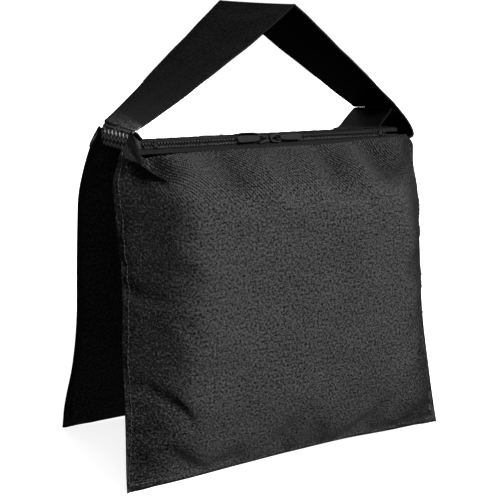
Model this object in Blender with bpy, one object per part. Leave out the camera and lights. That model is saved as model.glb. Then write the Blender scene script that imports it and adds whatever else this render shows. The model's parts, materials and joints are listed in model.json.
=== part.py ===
"""Saddle sandbag: two sand-filled pouches joined by a bridge, with a webbing handle over it.

Metres, Z up. The origin is on the floor under the middle of the bridge. X runs along the bridge.
The front pouch hangs on the -Y side and the back pouch on the +Y side. Inside the functions a
pouch point is (x, out, z), where out is the distance from the middle plane.
"""

import bmesh
import bpy
import numpy as np
from mathutils import Vector

# Overall sizes
POUCH_HEIGHT = 0.250
WEBBING_WIDTH = 0.050
WEBBING = 0.0018
FABRIC = 0.0008
TAPE = 0.0006
LINER = 0.0005
BINDING_WIDTH = 0.006
BINDING = 0.0012
BOTTOM_ARCH = 0.010
BOTTOM_SEAM_OUT = 0.0644
SEAM_HALF_GAP = 0.0021
RIM_INSET = 0.0035

# (height, half the pouch's width) and (height, how far out the side seam lies)
HALF_WIDTH = ((0.000, 0.138), (0.035, 0.1365), (0.070, 0.134), (0.110, 0.1325),
              (0.150, 0.131), (0.190, 0.1315), (0.220, 0.130), (0.250, 0.118))
SEAM_OUT = ((0.000, 0.0660), (0.035, 0.0615), (0.070, 0.0560), (0.110, 0.0505),
            (0.150, 0.0470), (0.190, 0.0420), (0.220, 0.0370), (0.250, 0.0330))

# (out, height) down the middle of each panel, from the bottom seam up
OUTER_PROFILE = ((0.0669, 0.0110), (0.0740, 0.0220), (0.0815, 0.0400), (0.0860, 0.0620),
                 (0.0875, 0.1000), (0.0865, 0.1500), (0.0840, 0.1900), (0.0800, 0.2110),
                 (0.0705, 0.2215), (0.0560, 0.2310), (0.0450, 0.2360), (0.0385, 0.2385))
BACK_OUTER_PROFILE = OUTER_PROFILE[:-3] + ((0.0560, 0.2285), (0.0450, 0.2316), (0.0385, 0.2330))
INNER_LOWER_PROFILE = ((0.0622, 0.0110), (0.0590, 0.0240), (0.0520, 0.0450), (0.0455, 0.0700),
                       (0.0395, 0.1000), (0.0345, 0.1400), (0.0310, 0.1835))
INNER_UPPER_PROFILE = ((0.0308, 0.1845), (0.0292, 0.2150), (0.0286, 0.2396))
COLUMNS = (0.0, 0.2, 0.4, 0.54, 0.64, 0.72, 0.80, 0.88, 0.95, 1.0)

# Bridge and under strap
BRIDGE_HALF_LENGTH = 0.1120
BRIDGE_HALF_WIDTH = 0.0270
BRIDGE_TOP = 0.2425
BRIDGE_THICKNESS = 0.0010
UNDER_STRAP_HALF_LENGTH = 0.1000
UNDER_STRAP_TOP = 0.2405

# Strap ends, as (x, z) along the middle of the webbing from over the bridge to under it
LEFT_END = ((-0.1040, 0.2490), (-0.1105, 0.2512), (-0.1165, 0.2508), (-0.1200, 0.2475),
            (-0.1210, 0.2430), (-0.1185, 0.2396), (-0.1130, 0.2388), (-0.1045, 0.2396))
RIGHT_END = ((0.0985, 0.2490), (0.1050, 0.2555), (0.1115, 0.2592), (0.1180, 0.2580),
             (0.1335, 0.2435), (0.1352, 0.2400), (0.1310, 0.2382), (0.1045, 0.2396))
TACK_LENGTH = 0.044
TACK_WIDTH = 0.0018
TACK_HEIGHT = 0.0006
CLEARANCE = 0.0004

# Handle: ends of its near and far edges, and the two ends of the crease at the crest
LEFT_NEAR, LEFT_FAR = (-0.1105, -0.0250, 0.2545), (-0.1160, 0.0250, 0.2572)
RIGHT_NEAR, RIGHT_FAR = (0.1165, -0.0250, 0.2650), (0.1112, 0.0240, 0.2625)
CREST_NEAR, CREST_FAR = (0.0238, -0.0225, 0.3430), (-0.0180, 0.0225, 0.3458)
ROOT_SHARE = 0.26
SPLIT_SHARE = 0.004

# Zip: the chain's centre line, which tilts down and out. The back zip hangs lower
CHAIN_OUT = 0.0325
CHAIN_Z = {-1: 0.2440, 1: 0.2385}
# Where the inner tape starts, clear of the bridge's edge when the pouch swings in
TAPE_START = {-1: ((0.0277, 0.2446), (0.0283, 0.2479)), 1: ((0.0294, 0.2424),)}
DOWN = np.array((0.4191, -0.9080))
FACING = np.array((0.9080, 0.4191))
COIL_INNER_EDGE, COIL_OUTER_EDGE, COIL_HALF_DEPTH = 0.00075, 0.00295, 0.0009
COIL_HALF_LENGTH = 0.0960
TAPE_HALF_LENGTH = 0.1000
STOP_LENGTH = 0.0028
SLIDER_LENGTH = 0.0090
SLIDER_HALF_WIDTH = 0.0036
PLATE_NEAR, PLATE_FAR = 0.00125, 0.00205
NECK_HALF = 0.0004
BAIL_HALF_LENGTH, BAIL_LEG, BAIL_HALF_WIDTH = 0.0029, 0.0010, 0.0006
BAIL_UNDER, BAIL_TOP = 0.0041, 0.0049
PULL_AXIS = 0.0031
PULL_HALF_THICKNESS, PULL_HALF_WIDTH, PULL_LENGTH = 0.00045, 0.0025, 0.0220
WINDOW_HALF_WIDTH, WINDOW_END = 0.0009, 0.0042
LEFT_SLIDER_X, RIGHT_SLIDER_X = -0.0105, 0.0005

# Fill
LINER_INSET, SAND_INSET = 0.0024, 0.0037
LINER_LEVELS = (0.030, 0.040, 0.052, 0.070, 0.095, 0.130, 0.170, 0.200, 0.216)
SAND_LEVELS = (0.033, 0.041, 0.053, 0.070, 0.095, 0.130, 0.170, 0.203)
FILL_SIDES = 24

MATERIALS = {
    "woven_polyester": ((0.030, 0.030, 0.032, 1.0), 0.0, 0.80),
    "webbing": ((0.016, 0.016, 0.017, 1.0), 0.0, 0.75),
    "zip_tape": ((0.022, 0.022, 0.024, 1.0), 0.0, 0.80),
    "zip_coil": ((0.030, 0.030, 0.032, 1.0), 0.0, 0.40),
    "slider_metal": ((0.120, 0.120, 0.125, 1.0), 0.8, 0.35),
    "thread": ((0.060, 0.060, 0.064, 1.0), 0.0, 0.60),
    "liner_fabric": ((0.350, 0.350, 0.340, 1.0), 0.0, 0.70),
    "sand": ((0.520, 0.420, 0.280, 1.0), 0.0, 0.95),
}


def clear_scene():
    for obj in list(bpy.data.objects):
        bpy.data.objects.remove(obj, do_unlink=True)


def make_materials():
    made = {}
    for name, (color, metallic, roughness) in MATERIALS.items():
        material = bpy.data.materials.new(name)
        material.use_nodes = True
        shader = material.node_tree.nodes["Principled BSDF"]
        shader.inputs["Base Color"].default_value = color
        shader.inputs["Metallic"].default_value = metallic
        shader.inputs["Roughness"].default_value = roughness
        made[name] = material
    return made


def read_table(table, at):
    steps, values = zip(*table)
    return float(np.interp(at, steps, values))


def finish_mesh(name, points, faces, material, towards=None):
    """An object from points and faces. An open sheet's normals are turned to face towards."""
    mesh = bpy.data.meshes.new(name)
    mesh.from_pydata([tuple(map(float, p)) for p in points], [], faces)
    work = bmesh.new()
    work.from_mesh(mesh)
    bmesh.ops.recalc_face_normals(work, faces=work.faces)
    if towards is not None:
        total = sum((f.normal * f.calc_area() for f in work.faces), Vector())
        if total.dot(Vector(towards)) < 0:
            bmesh.ops.reverse_faces(work, faces=work.faces)
    work.to_mesh(mesh)
    work.free()
    mesh.polygons.foreach_set("use_smooth", [True] * len(mesh.polygons))
    mesh.materials.append(MADE[material])
    obj = bpy.data.objects.new(name, mesh)
    bpy.context.scene.collection.objects.link(obj)
    return obj


def sheet(name, rows, material, thickness, towards, offset=-1.0):
    """A closed sheet: a grid of points given thickness behind the side that faces towards."""
    across = len(rows[0])
    points = [p for row in rows for p in row]
    faces = [(r * across + c, r * across + c + 1, (r + 1) * across + c + 1, (r + 1) * across + c)
             for r in range(len(rows) - 1) for c in range(across - 1)]
    obj = finish_mesh(name, points, faces, material, towards)
    solid = obj.modifiers.new("thickness", "SOLIDIFY")
    solid.thickness = thickness
    solid.offset = offset
    solid.use_even_offset = True
    return obj


def prism(name, section, x_low, x_high, side, material):
    """A bar along X with the given (out, z) section."""
    count = len(section)
    points = [(x, side * out, z) for x in (x_low, x_high) for out, z in section]
    faces = [tuple(range(count)), tuple(range(count, 2 * count))]
    for i in range(count):
        j = (i + 1) % count
        faces.append((i, j, count + j, count + i))
    return finish_mesh(name, points, faces, material)


def join_boxes(name, boxes, place, material):
    """One closed solid from boxes that share whole faces on a common grid of planes.

    Each box is (low, high) in local axes. place maps a local point to the world.
    """
    planes = [sorted({round(v[k], 7) for box in boxes for v in box}) for k in range(3)]
    shape = [len(p) - 1 for p in planes]
    filled = np.zeros(shape, bool)
    for low, high in boxes:
        index = [slice(planes[k].index(round(low[k], 7)), planes[k].index(round(high[k], 7)))
                 for k in range(3)]
        filled[tuple(index)] = True
    padded = np.pad(filled, 1)
    points, lookup, faces = [], {}, []

    def corner(key):
        if key not in lookup:
            lookup[key] = len(points)
            points.append(place([planes[k][key[k]] for k in range(3)]))
        return lookup[key]

    for cell in np.argwhere(filled):
        for k in range(3):
            for step in (0, 1):
                beside = cell + 1
                beside[k] += 1 if step else -1
                if padded[tuple(beside)]:
                    continue
                a, b = [m for m in range(3) if m != k]
                face = []
                for da, db in ((0, 0), (1, 0), (1, 1), (0, 1)):
                    key = list(cell)
                    key[k] += step
                    key[a] += da
                    key[b] += db
                    face.append(corner(tuple(int(n) for n in key)))
                faces.append(face)
    return finish_mesh(name, points, faces, material)


# Pouch panels

def ridge_share(v):
    """Where the flat face ends and the flank begins, as a share of the half width."""
    return 0.70 + 0.14 * (1 - v) ** 4 + 0.17 * v ** 6


def face_share(u, v):
    """1 on the flat face and 0 at the side seam."""
    ridge = ridge_share(v)
    t = max(0.0, (abs(u) - ridge) / (1 - ridge))
    return 1 - t ** 1.25


def arch(u):
    """The bottom seam's height: raised along the middle, and down to the floor at the corners."""
    return BOTTOM_ARCH * (1 - abs(u) ** 7)


def panel_rows(profile, side, seam_shift, high):
    """Grid over one panel, bottom row first, running from side seam to side seam."""
    z_low, z_high = OUTER_PROFILE[0][1], high
    columns = sorted({-u for u in COLUMNS} | set(COLUMNS))
    rows = []
    for out, z in profile:
        v = (z - z_low) / (z_high - z_low)
        edge_z = 0.001 + v * (POUCH_HEIGHT - 0.001)
        half = read_table(HALF_WIDTH, edge_z) - RIM_INSET
        seam = read_table(SEAM_OUT, edge_z) + seam_shift
        row = []
        for u in columns:
            share = face_share(u, v)
            height = share * z + (1 - share) * edge_z
            if v == 0:
                height = arch(u) + 0.001
                share = 1 - abs(u) ** 7
            row.append((u * half, side * (share * out + (1 - share) * seam), height))
        rows.append(row)
    return rows


def make_panels(prefix, side):
    top = INNER_UPPER_PROFILE[-1][1]
    profile = BACK_OUTER_PROFILE if side > 0 else OUTER_PROFILE
    outer = panel_rows(profile, side, SEAM_HALF_GAP, high=profile[-1][1])
    lower = panel_rows(INNER_LOWER_PROFILE, side, -SEAM_HALF_GAP, high=top)
    upper = panel_rows(INNER_UPPER_PROFILE, side, -SEAM_HALF_GAP, high=top)
    sheet(prefix + "_outer_panel", outer, "woven_polyester", FABRIC, (0, side, 0))
    sheet(prefix + "_inner_lower_panel", lower, "woven_polyester", FABRIC, (0, -side, 0))
    sheet(prefix + "_inner_upper_panel", upper, "woven_polyester", FABRIC, (0, -side, 0))


def make_binding(prefix, side):
    """The flange round both sides and the bottom, in the plane of the seam."""
    heights = [z for z, _ in HALF_WIDTH][1:-1] + [POUCH_HEIGHT - 0.004]
    edge = [(-read_table(HALF_WIDTH, z), read_table(SEAM_OUT, z), z) for z in reversed(heights)]
    inner = [(x + BINDING_WIDTH, out, z) for x, out, z in edge]
    floor_half, corner_out = HALF_WIDTH[0][1], SEAM_OUT[0][1]
    corner_lean = corner_out - read_table(SEAM_OUT, BINDING_WIDTH)
    for u in (-1.0, -0.94, -0.86, -0.7, -0.4, 0.0, 0.4, 0.7, 0.86, 0.94, 1.0):
        z, corner = arch(u), abs(u) ** 7
        out = BOTTOM_SEAM_OUT + (corner_out - BOTTOM_SEAM_OUT) * corner
        edge.append((u * floor_half, out, z))
        inner.append((u * (floor_half - BINDING_WIDTH), out - corner_lean * corner,
                      z + BINDING_WIDTH))
    for z in heights:
        x, out = read_table(HALF_WIDTH, z), read_table(SEAM_OUT, z)
        edge.append((x, out, z))
        inner.append((x - BINDING_WIDTH, out, z))
    rows = [[(x, side * out, z) for x, out, z in line] for line in (edge, inner)]
    sheet(prefix + "_seam_binding", rows, "woven_polyester", BINDING, (0, side, 0), offset=0.0)


# Fill

def boxy(value):
    """Pushes a circle's sine or cosine outwards, so that the ring has flatter sides."""
    return float(np.sign(value) * abs(value) ** 0.90)


def fill_ring(z, inset, side):
    """A rounded section of the pouch's inside at one height."""
    outs, heights = zip(*OUTER_PROFILE)
    face = float(np.interp(z, heights, outs))
    inner = INNER_LOWER_PROFILE + INNER_UPPER_PROFILE
    back = float(np.interp(z, [h for _, h in inner], [out for out, _ in inner]))
    middle, depth = (face + back) / 2, (face - back) / 2 - inset
    half = 0.90 * read_table(HALF_WIDTH, z) - inset
    seam = read_table(SEAM_OUT, z)
    ring = []
    for i in range(FILL_SIDES):
        a = 2 * np.pi * i / FILL_SIDES
        x = half * boxy(np.cos(a))
        pull = (abs(x) / half) ** 4
        centre = (1 - pull) * middle + pull * (0.5 * middle + 0.5 * seam)
        ring.append((x, side * (centre + depth * boxy(np.sin(a))), z))
    return ring


def stacked(rings, caps):
    count = len(rings[0])
    points = [p for ring in rings for p in ring]
    faces = []
    for r in range(len(rings) - 1):
        for i in range(count):
            j = (i + 1) % count
            faces.append((r * count + i, r * count + j, (r + 1) * count + j, (r + 1) * count + i))
    if "bottom" in caps:
        faces.append(tuple(range(count)))
    if "top" in caps:
        faces.append(tuple(range(len(points) - count, len(points))))
    return points, faces


def make_fill(prefix, side):
    points, faces = stacked([fill_ring(z, SAND_INSET, side) for z in SAND_LEVELS],
                            ("bottom", "top"))
    finish_mesh(prefix + "_sand_fill", points, faces, "sand")
    rings = [fill_ring(z, LINER_INSET, side) for z in LINER_LEVELS]
    points, faces = stacked(rings, ("bottom",))
    liner = finish_mesh(prefix + "_liner_bag", points, faces, "liner_fabric")
    solid = liner.modifiers.new("thickness", "SOLIDIFY")
    solid.thickness = LINER
    solid.offset = -1.0


# Zip

def chain_point(side, along, facing):
    """(out, z) of a point given down the chain's face and out from it."""
    return np.array((CHAIN_OUT, CHAIN_Z[side])) + along * DOWN + facing * FACING


def strip_section(start, end, thickness):
    start, end = np.array(start), np.array(end)
    run = (end - start) / np.linalg.norm(end - start)
    half = 0.5 * thickness * np.array((-run[1], run[0]))
    return [start - half, end - half, end + half, start + half]


def make_zip(prefix, side):
    gap = COIL_OUTER_EDGE + 0.0003
    top_edge = chain_point(side, -gap, 0)
    hem_end = TAPE_START[side] + (tuple(top_edge),)
    rows = [[(x, side * out, z) for x in (-TAPE_HALF_LENGTH, TAPE_HALF_LENGTH)]
            for out, z in hem_end]
    sheet(prefix + "_zip_tape_inner", rows, "zip_tape", TAPE, (0, side, 1), offset=0.0)
    pouch_end = chain_point(side, gap, 0) + np.array((0.0035, -0.0021))
    pouch_side = strip_section(chain_point(side, gap, 0), pouch_end, TAPE)
    prism(prefix + "_zip_tape_outer", pouch_side, -TAPE_HALF_LENGTH, TAPE_HALF_LENGTH, side,
          "zip_tape")
    for name, sign in (("inner", -1), ("outer", 1)):
        low, high = sign * COIL_INNER_EDGE, sign * COIL_OUTER_EDGE
        section = [chain_point(side, low, -COIL_HALF_DEPTH),
                   chain_point(side, high, -COIL_HALF_DEPTH),
                   chain_point(side, high, COIL_HALF_DEPTH),
                   chain_point(side, low, COIL_HALF_DEPTH)]
        prism(prefix + "_zip_coil_" + name, section, -COIL_HALF_LENGTH, COIL_HALF_LENGTH, side,
              "zip_coil")
    for name, sign in (("left", -1), ("right", 1)):
        start = sign * (COIL_HALF_LENGTH + CLEARANCE)
        low, high = sorted((start, start + sign * STOP_LENGTH))
        edge = COIL_OUTER_EDGE
        section = [chain_point(side, -edge, -0.0012), chain_point(side, edge, -0.0012),
                   chain_point(side, edge, 0.0012), chain_point(side, -edge, 0.0012)]
        prism(prefix + "_zip_stop_" + name, section, low, high, side, "slider_metal")


def zip_place(side, x, direction):
    """Maps (along the zip, down the chain's face, out from it) to the world."""
    def place(p):
        out, z = chain_point(side, p[1], p[2])
        return (x + direction * p[0], side * out, z)
    return place


def make_slider(prefix, name, side, x, direction):
    half, width = SLIDER_LENGTH / 2, SLIDER_HALF_WIDTH
    leg, reach = BAIL_HALF_LENGTH - BAIL_LEG, BAIL_HALF_LENGTH
    boxes = [
        ((-half, -width, PLATE_NEAR), (half, width, PLATE_FAR)),
        ((-half, -width, -PLATE_FAR), (half, width, -PLATE_NEAR)),
        ((-reach, -NECK_HALF, -PLATE_NEAR), (reach, NECK_HALF, PLATE_NEAR)),
        ((-reach, -BAIL_HALF_WIDTH, PLATE_FAR), (-leg, BAIL_HALF_WIDTH, BAIL_UNDER)),
        ((leg, -BAIL_HALF_WIDTH, PLATE_FAR), (reach, BAIL_HALF_WIDTH, BAIL_UNDER)),
        ((-reach, -BAIL_HALF_WIDTH, BAIL_UNDER), (reach, BAIL_HALF_WIDTH, BAIL_TOP)),
    ]
    place = zip_place(side, x, direction)
    join_boxes(f"{prefix}_zip_slider_{name}", boxes, place, "slider_metal")
    low, high = PULL_AXIS - PULL_HALF_THICKNESS, PULL_AXIS + PULL_HALF_THICKNESS
    bar, arm, edge = PULL_HALF_THICKNESS, WINDOW_HALF_WIDTH, PULL_HALF_WIDTH
    boxes = [
        ((-bar, -edge, low), (bar, edge, high)),
        ((bar, -edge, low), (WINDOW_END, -arm, high)),
        ((bar, arm, low), (WINDOW_END, edge, high)),
        ((WINDOW_END, -edge, low), (PULL_LENGTH, edge, high)),
    ]
    join_boxes(f"{prefix}_zip_pull_{name}", boxes, place, "slider_metal")


def make_pouch(prefix, side):
    make_panels(prefix, side)
    make_binding(prefix, side)
    make_fill(prefix, side)
    make_zip(prefix, side)
    make_slider(prefix, "left", side, LEFT_SLIDER_X, -1)
    make_slider(prefix, "right", side, RIGHT_SLIDER_X, 1)


# Bridge and webbing

def make_bridge():
    low, high = BRIDGE_TOP - BRIDGE_THICKNESS, BRIDGE_TOP
    section = [(-BRIDGE_HALF_WIDTH, low), (BRIDGE_HALF_WIDTH, low),
               (BRIDGE_HALF_WIDTH, high), (-BRIDGE_HALF_WIDTH, high)]
    prism("bridge_panel", section, -BRIDGE_HALF_LENGTH, BRIDGE_HALF_LENGTH, 1, "woven_polyester")
    low, high = UNDER_STRAP_TOP - WEBBING, UNDER_STRAP_TOP
    half = WEBBING_WIDTH / 2
    section = [(-half, low), (half, low), (half, high), (-half, high)]
    prism("under_strap", section, -UNDER_STRAP_HALF_LENGTH, UNDER_STRAP_HALF_LENGTH, 1, "webbing")


def make_strap_end(name, path):
    half = WEBBING_WIDTH / 2
    rows = [[(x, -half, z), (x, half, z)] for x, z in path]
    sheet("strap_end_" + name, rows, "webbing", WEBBING, (0, 0, 1), offset=0.0)
    start, end = np.array(path[3]), np.array(path[4])
    run = (end - start) / np.linalg.norm(end - start)
    away = np.array((-run[1], run[0]))
    if away[0] * start[0] < 0:
        away = -away
    for label, share in (("upper", 0.22), ("lower", 0.78)):
        foot = start + share * (end - start) + (WEBBING / 2 + CLEARANCE) * away
        along, lift = 0.5 * TACK_WIDTH * run, TACK_HEIGHT * away
        corners = [foot - along, foot + along, foot + along + lift, foot - along + lift]
        points = [(x, y, z) for y in (-TACK_LENGTH / 2, TACK_LENGTH / 2) for x, z in corners]
        faces = [(0, 1, 2, 3), (4, 5, 6, 7), (0, 1, 5, 4), (1, 2, 6, 5), (2, 3, 7, 6), (3, 0, 4, 7)]
        finish_mesh(f"bartack_{name}_{label}", points, faces, "thread")


def edge_rows(near_from, near_to, far_from, far_to, shares):
    rows = []
    for t in shares:
        near = np.array(near_from) * (1 - t) + np.array(near_to) * t
        far = np.array(far_from) * (1 - t) + np.array(far_to) * t
        rows.append([near, (near + far) / 2, far])
    return rows


def make_handle():
    left = (LEFT_NEAR, CREST_NEAR, LEFT_FAR, CREST_FAR)
    right = (CREST_NEAR, RIGHT_NEAR, CREST_FAR, RIGHT_FAR)
    first = ROOT_SHARE + SPLIT_SHARE
    rows = edge_rows(*left, (first, 0.4, 0.6, 0.8, 0.97))
    rows += edge_rows(*right, (0.03, 0.2, 0.4, 0.6, 1 - first))
    sheet("handle_webbing", rows, "webbing", WEBBING, (0, 0, 1), offset=0.0)
    root = (0.0, 0.1, 0.2, ROOT_SHARE)
    sheet("handle_root_left", edge_rows(*left, root), "webbing", WEBBING, (0, 0, 1), offset=0.0)
    root = [1 - t for t in reversed(root)]
    sheet("handle_root_right", edge_rows(*right, root), "webbing", WEBBING, (0, 0, 1), offset=0.0)


clear_scene()
MADE = make_materials()
make_bridge()
make_strap_end("left", LEFT_END)
make_strap_end("right", RIGHT_END)
make_handle()
make_pouch("front", -1)
make_pouch("back", 1)
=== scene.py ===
"""Looks for the saddle sandbag: cloth pouches, webbing strap, zips, fill, lights and camera.

Metres, Z up, in the frame of the CAD part. A pouch point is (x, out, z), where out is the distance
from the middle plane: the front pouch lies at y = -out and the back pouch at y = +out.
"""

import json

import bmesh
import bpy
import numpy as np
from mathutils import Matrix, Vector


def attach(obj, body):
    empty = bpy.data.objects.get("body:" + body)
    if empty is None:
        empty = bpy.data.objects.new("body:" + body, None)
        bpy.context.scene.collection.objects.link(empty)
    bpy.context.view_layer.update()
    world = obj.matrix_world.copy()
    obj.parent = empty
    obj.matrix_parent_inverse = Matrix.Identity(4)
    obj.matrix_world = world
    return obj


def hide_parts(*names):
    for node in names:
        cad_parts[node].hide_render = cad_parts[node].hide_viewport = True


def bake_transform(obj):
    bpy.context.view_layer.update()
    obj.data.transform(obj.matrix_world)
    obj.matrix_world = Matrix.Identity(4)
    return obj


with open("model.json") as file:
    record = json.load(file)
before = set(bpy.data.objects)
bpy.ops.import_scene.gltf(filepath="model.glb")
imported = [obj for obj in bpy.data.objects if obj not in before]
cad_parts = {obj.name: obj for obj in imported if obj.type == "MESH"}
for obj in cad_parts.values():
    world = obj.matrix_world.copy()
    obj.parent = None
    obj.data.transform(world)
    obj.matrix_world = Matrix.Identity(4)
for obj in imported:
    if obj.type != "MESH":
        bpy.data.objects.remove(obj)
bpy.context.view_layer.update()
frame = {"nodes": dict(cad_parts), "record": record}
SLOTS = {part["node"]: part["material_slot"] for part in frame["record"]["subparts"]}

# Middle of each zip's chain, by side (front -1, back 1), and its directions, as (out, z)
CHAIN_OUT = 0.0325
CHAIN_Z = {-1: 0.2440, 1: 0.2385}
DOWN = np.array((0.4191, -0.9080))
FACING = np.array((0.9080, 0.4191))
BRIDGE_TOP = 0.2424


# ---------------------------------------------------------------- small tools

def curve(steps, values, at):
    """Smooth, monotone interpolation of rows of values given at increasing steps."""
    t, p = np.asarray(steps, float), np.asarray(values, float)
    flat = p.ndim == 1
    p = p.reshape(len(t), -1)
    at = np.clip(np.asarray(at, float), t[0], t[-1])
    gap = np.diff(t)[:, None]
    rise = np.diff(p, axis=0) / gap
    slope = np.zeros_like(p)
    slope[0], slope[-1] = rise[0], rise[-1]
    same = rise[:-1] * rise[1:] > 0
    safe_a, safe_b = np.where(same, rise[:-1], 1), np.where(same, rise[1:], 1)
    w1, w2 = 2 * gap[1:] + gap[:-1], gap[1:] + 2 * gap[:-1]
    slope[1:-1] = np.where(same, (w1 + w2) / (w1 / safe_a + w2 / safe_b), 0)
    k = np.clip(np.searchsorted(t, at, side="right") - 1, 0, len(t) - 2)
    s = ((at - t[k]) / gap[k, 0])[:, None]
    h = gap[k]
    made = ((2 * s**3 - 3 * s**2 + 1) * p[k] + (s**3 - 2 * s**2 + s) * h * slope[k]
            + (3 * s**2 - 2 * s**3) * p[k + 1] + (s**3 - s**2) * h * slope[k + 1])
    return made[:, 0] if flat else made


def table(rows, at):
    """The same for a table of (step, value)."""
    steps, values = zip(*rows)
    return curve(steps, values, np.atleast_1d(at))


def bump(x, centre, width):
    """A smooth bump of height 1."""
    return np.exp(-((x - centre) / width) ** 2)


def run_along(path):
    """Length from the first point of a path to each of its points."""
    return np.concatenate([[0], np.cumsum(np.linalg.norm(np.diff(path, axis=0), axis=1))])


def waves(points, scale, seed):
    """Smooth seeded noise, about -1 to 1, at an array of points."""
    rng = np.random.default_rng(seed)
    total = np.zeros(points.shape[:-1])
    for octave in range(3):
        for _ in range(5):
            direction = rng.normal(size=3)
            direction /= np.linalg.norm(direction)
            turn = 2 * np.pi / scale * 1.9**octave * rng.uniform(0.75, 1.3)
            total += np.sin(points @ direction * turn + rng.uniform(0, 6.28)) / 1.9**octave
    return total / 4.2


def grid_normals(p):
    """Unit normals of a grid of points."""
    du = np.gradient(p, axis=1)
    dv = np.gradient(p, axis=0)
    n = np.cross(du, dv)
    return n / np.maximum(np.linalg.norm(n, axis=-1, keepdims=True), 1e-12)


def new_object(name, points, faces, material, uvs=None):
    """A mesh object. uvs gives one (u, v) for each point."""
    mesh = bpy.data.meshes.new(name)
    mesh.from_pydata([tuple(p) for p in np.asarray(points, float).tolist()], [], faces)
    if uvs is not None:
        layer = mesh.uv_layers.new(name="UVMap")
        index = np.empty(len(mesh.loops), np.int32)
        mesh.loops.foreach_get("vertex_index", index)
        layer.data.foreach_set("uv", np.asarray(uvs, np.float32)[index].ravel())
    mesh.polygons.foreach_set("use_smooth", [True] * len(mesh.polygons))
    mesh.materials.append(material)
    mesh.validate()
    obj = bpy.data.objects.new(name, mesh)
    bpy.context.scene.collection.objects.link(obj)
    return obj


def fix_normals(obj):
    work = bmesh.new()
    work.from_mesh(obj.data)
    bmesh.ops.recalc_face_normals(work, faces=work.faces)
    work.to_mesh(obj.data)
    work.free()


def grid_faces(rows, cols, first=0, wrap=False):
    faces = []
    for r in range(rows - 1):
        for c in range(cols if wrap else cols - 1):
            d = (c + 1) % cols
            faces.append((first + r * cols + c, first + r * cols + d,
                          first + (r + 1) * cols + d, first + (r + 1) * cols + c))
    return faces


def tube_faces(count, sides, closed=False):
    """Faces of a tube of count rings, closed into a loop or with a cap at each end."""
    faces = grid_faces(count, sides, wrap=True)
    last = (count - 1) * sides
    if closed:
        faces += [(last + i, last + (i + 1) % sides, (i + 1) % sides, i) for i in range(sides)]
    else:
        faces += [tuple(reversed(range(sides))), tuple(range(last, last + sides))]
    return faces


def apply_modifiers(obj):
    graph = bpy.context.evaluated_depsgraph_get()
    done = bpy.data.meshes.new_from_object(obj.evaluated_get(graph))
    obj.modifiers.clear()
    old = obj.data
    obj.data = done
    bpy.data.meshes.remove(old)


def subdivide(obj):
    modifier = obj.modifiers.new("subdivision", "SUBSURF")
    modifier.levels = modifier.render_levels = 1
    apply_modifiers(obj)


def crease(obj, corners, sharpness):
    """Keeps subdivision from pulling in the edges that join two of the given points."""
    corners = {int(c) for c in corners}
    layer = (obj.data.attributes.get("crease_edge")
             or obj.data.attributes.new("crease_edge", "FLOAT", "EDGE"))
    for edge in obj.data.edges:
        if set(edge.vertices) <= corners:
            layer.data[edge.index].value = sharpness


def shade(obj, values):
    """Stores the fold attribute: painted shade for the cloth, a painted highlight for webbing."""
    layer = obj.data.attributes.new("fold", "FLOAT", "POINT")
    layer.data.foreach_set("value", np.asarray(values, np.float32))


def tube_rings(path, radius, sides, up, closed):
    """Rings of points round a path. up lies in the plane of one axis of each ring."""
    path = np.asarray(path, float)
    if closed:
        along = np.roll(path, -1, axis=0) - np.roll(path, 1, axis=0)
    else:
        along = np.gradient(path, axis=0)
    along /= np.maximum(np.linalg.norm(along, axis=1, keepdims=True), 1e-12)
    side = np.cross(along, np.asarray(up, float))
    weak = np.linalg.norm(side, axis=1) < 1e-3
    side[weak] = np.cross(along[weak], (0.3, 0.8, 0.1))
    side /= np.linalg.norm(side, axis=1, keepdims=True)
    over = np.cross(side, along)
    angle = np.linspace(0, 2 * np.pi, sides, endpoint=False)
    radius = np.broadcast_to(np.asarray(radius, float), (len(path),))
    ring = (np.cos(angle)[None, :, None] * side[:, None, :]
            + np.sin(angle)[None, :, None] * over[:, None, :])
    return path[:, None, :] + ring * radius[:, None, None]


class Builder:
    """Gathers points and faces of several closed bodies for one object."""

    def __init__(self):
        self.points, self.faces, self.uvs = [], [], []

    def add(self, points, faces, uvs=None):
        first = len(self.points)
        points = np.asarray(points, float).reshape(-1, 3)
        self.points.extend(points.tolist())
        self.faces.extend([tuple(first + i for i in f) for f in faces])
        uvs = points[:, :2] if uvs is None else np.asarray(uvs, float).reshape(-1, 2)
        self.uvs.extend(uvs.tolist())

    def tube(self, path, radius, sides, up, closed=False):
        rings = tube_rings(path, radius, sides, up, closed)
        run = run_along(path)
        uvs = np.stack(np.broadcast_arrays(run[:, None], np.linspace(0, 1, sides)[None, :]), -1)
        self.add(rings, tube_faces(len(rings), sides, closed), uvs)

    def make(self, name, material):
        obj = new_object(name, self.points, self.faces, material, self.uvs)
        fix_normals(obj)
        return obj


def join(pieces):
    """Moves the faces of all the pieces into the first one."""
    work = bmesh.new()
    for piece in pieces:
        work.from_mesh(piece.data)
    work.to_mesh(pieces[0].data)
    work.free()
    for piece in pieces[1:]:
        bpy.data.objects.remove(piece, do_unlink=True)
    return pieces[0]


def bevelled(obj, width):
    """Rounds an object's sharp edges."""
    modifier = obj.modifiers.new("bevel", "BEVEL")
    modifier.width = width
    modifier.segments = 2
    modifier.limit_method = "ANGLE"
    modifier.angle_limit = 0.6
    apply_modifiers(obj)
    obj.data.polygons.foreach_set("use_smooth", [True] * len(obj.data.polygons))
    modifier = obj.modifiers.new("normals", "WEIGHTED_NORMAL")
    apply_modifiers(obj)


# ---------------------------------------------------------------- materials

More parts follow.
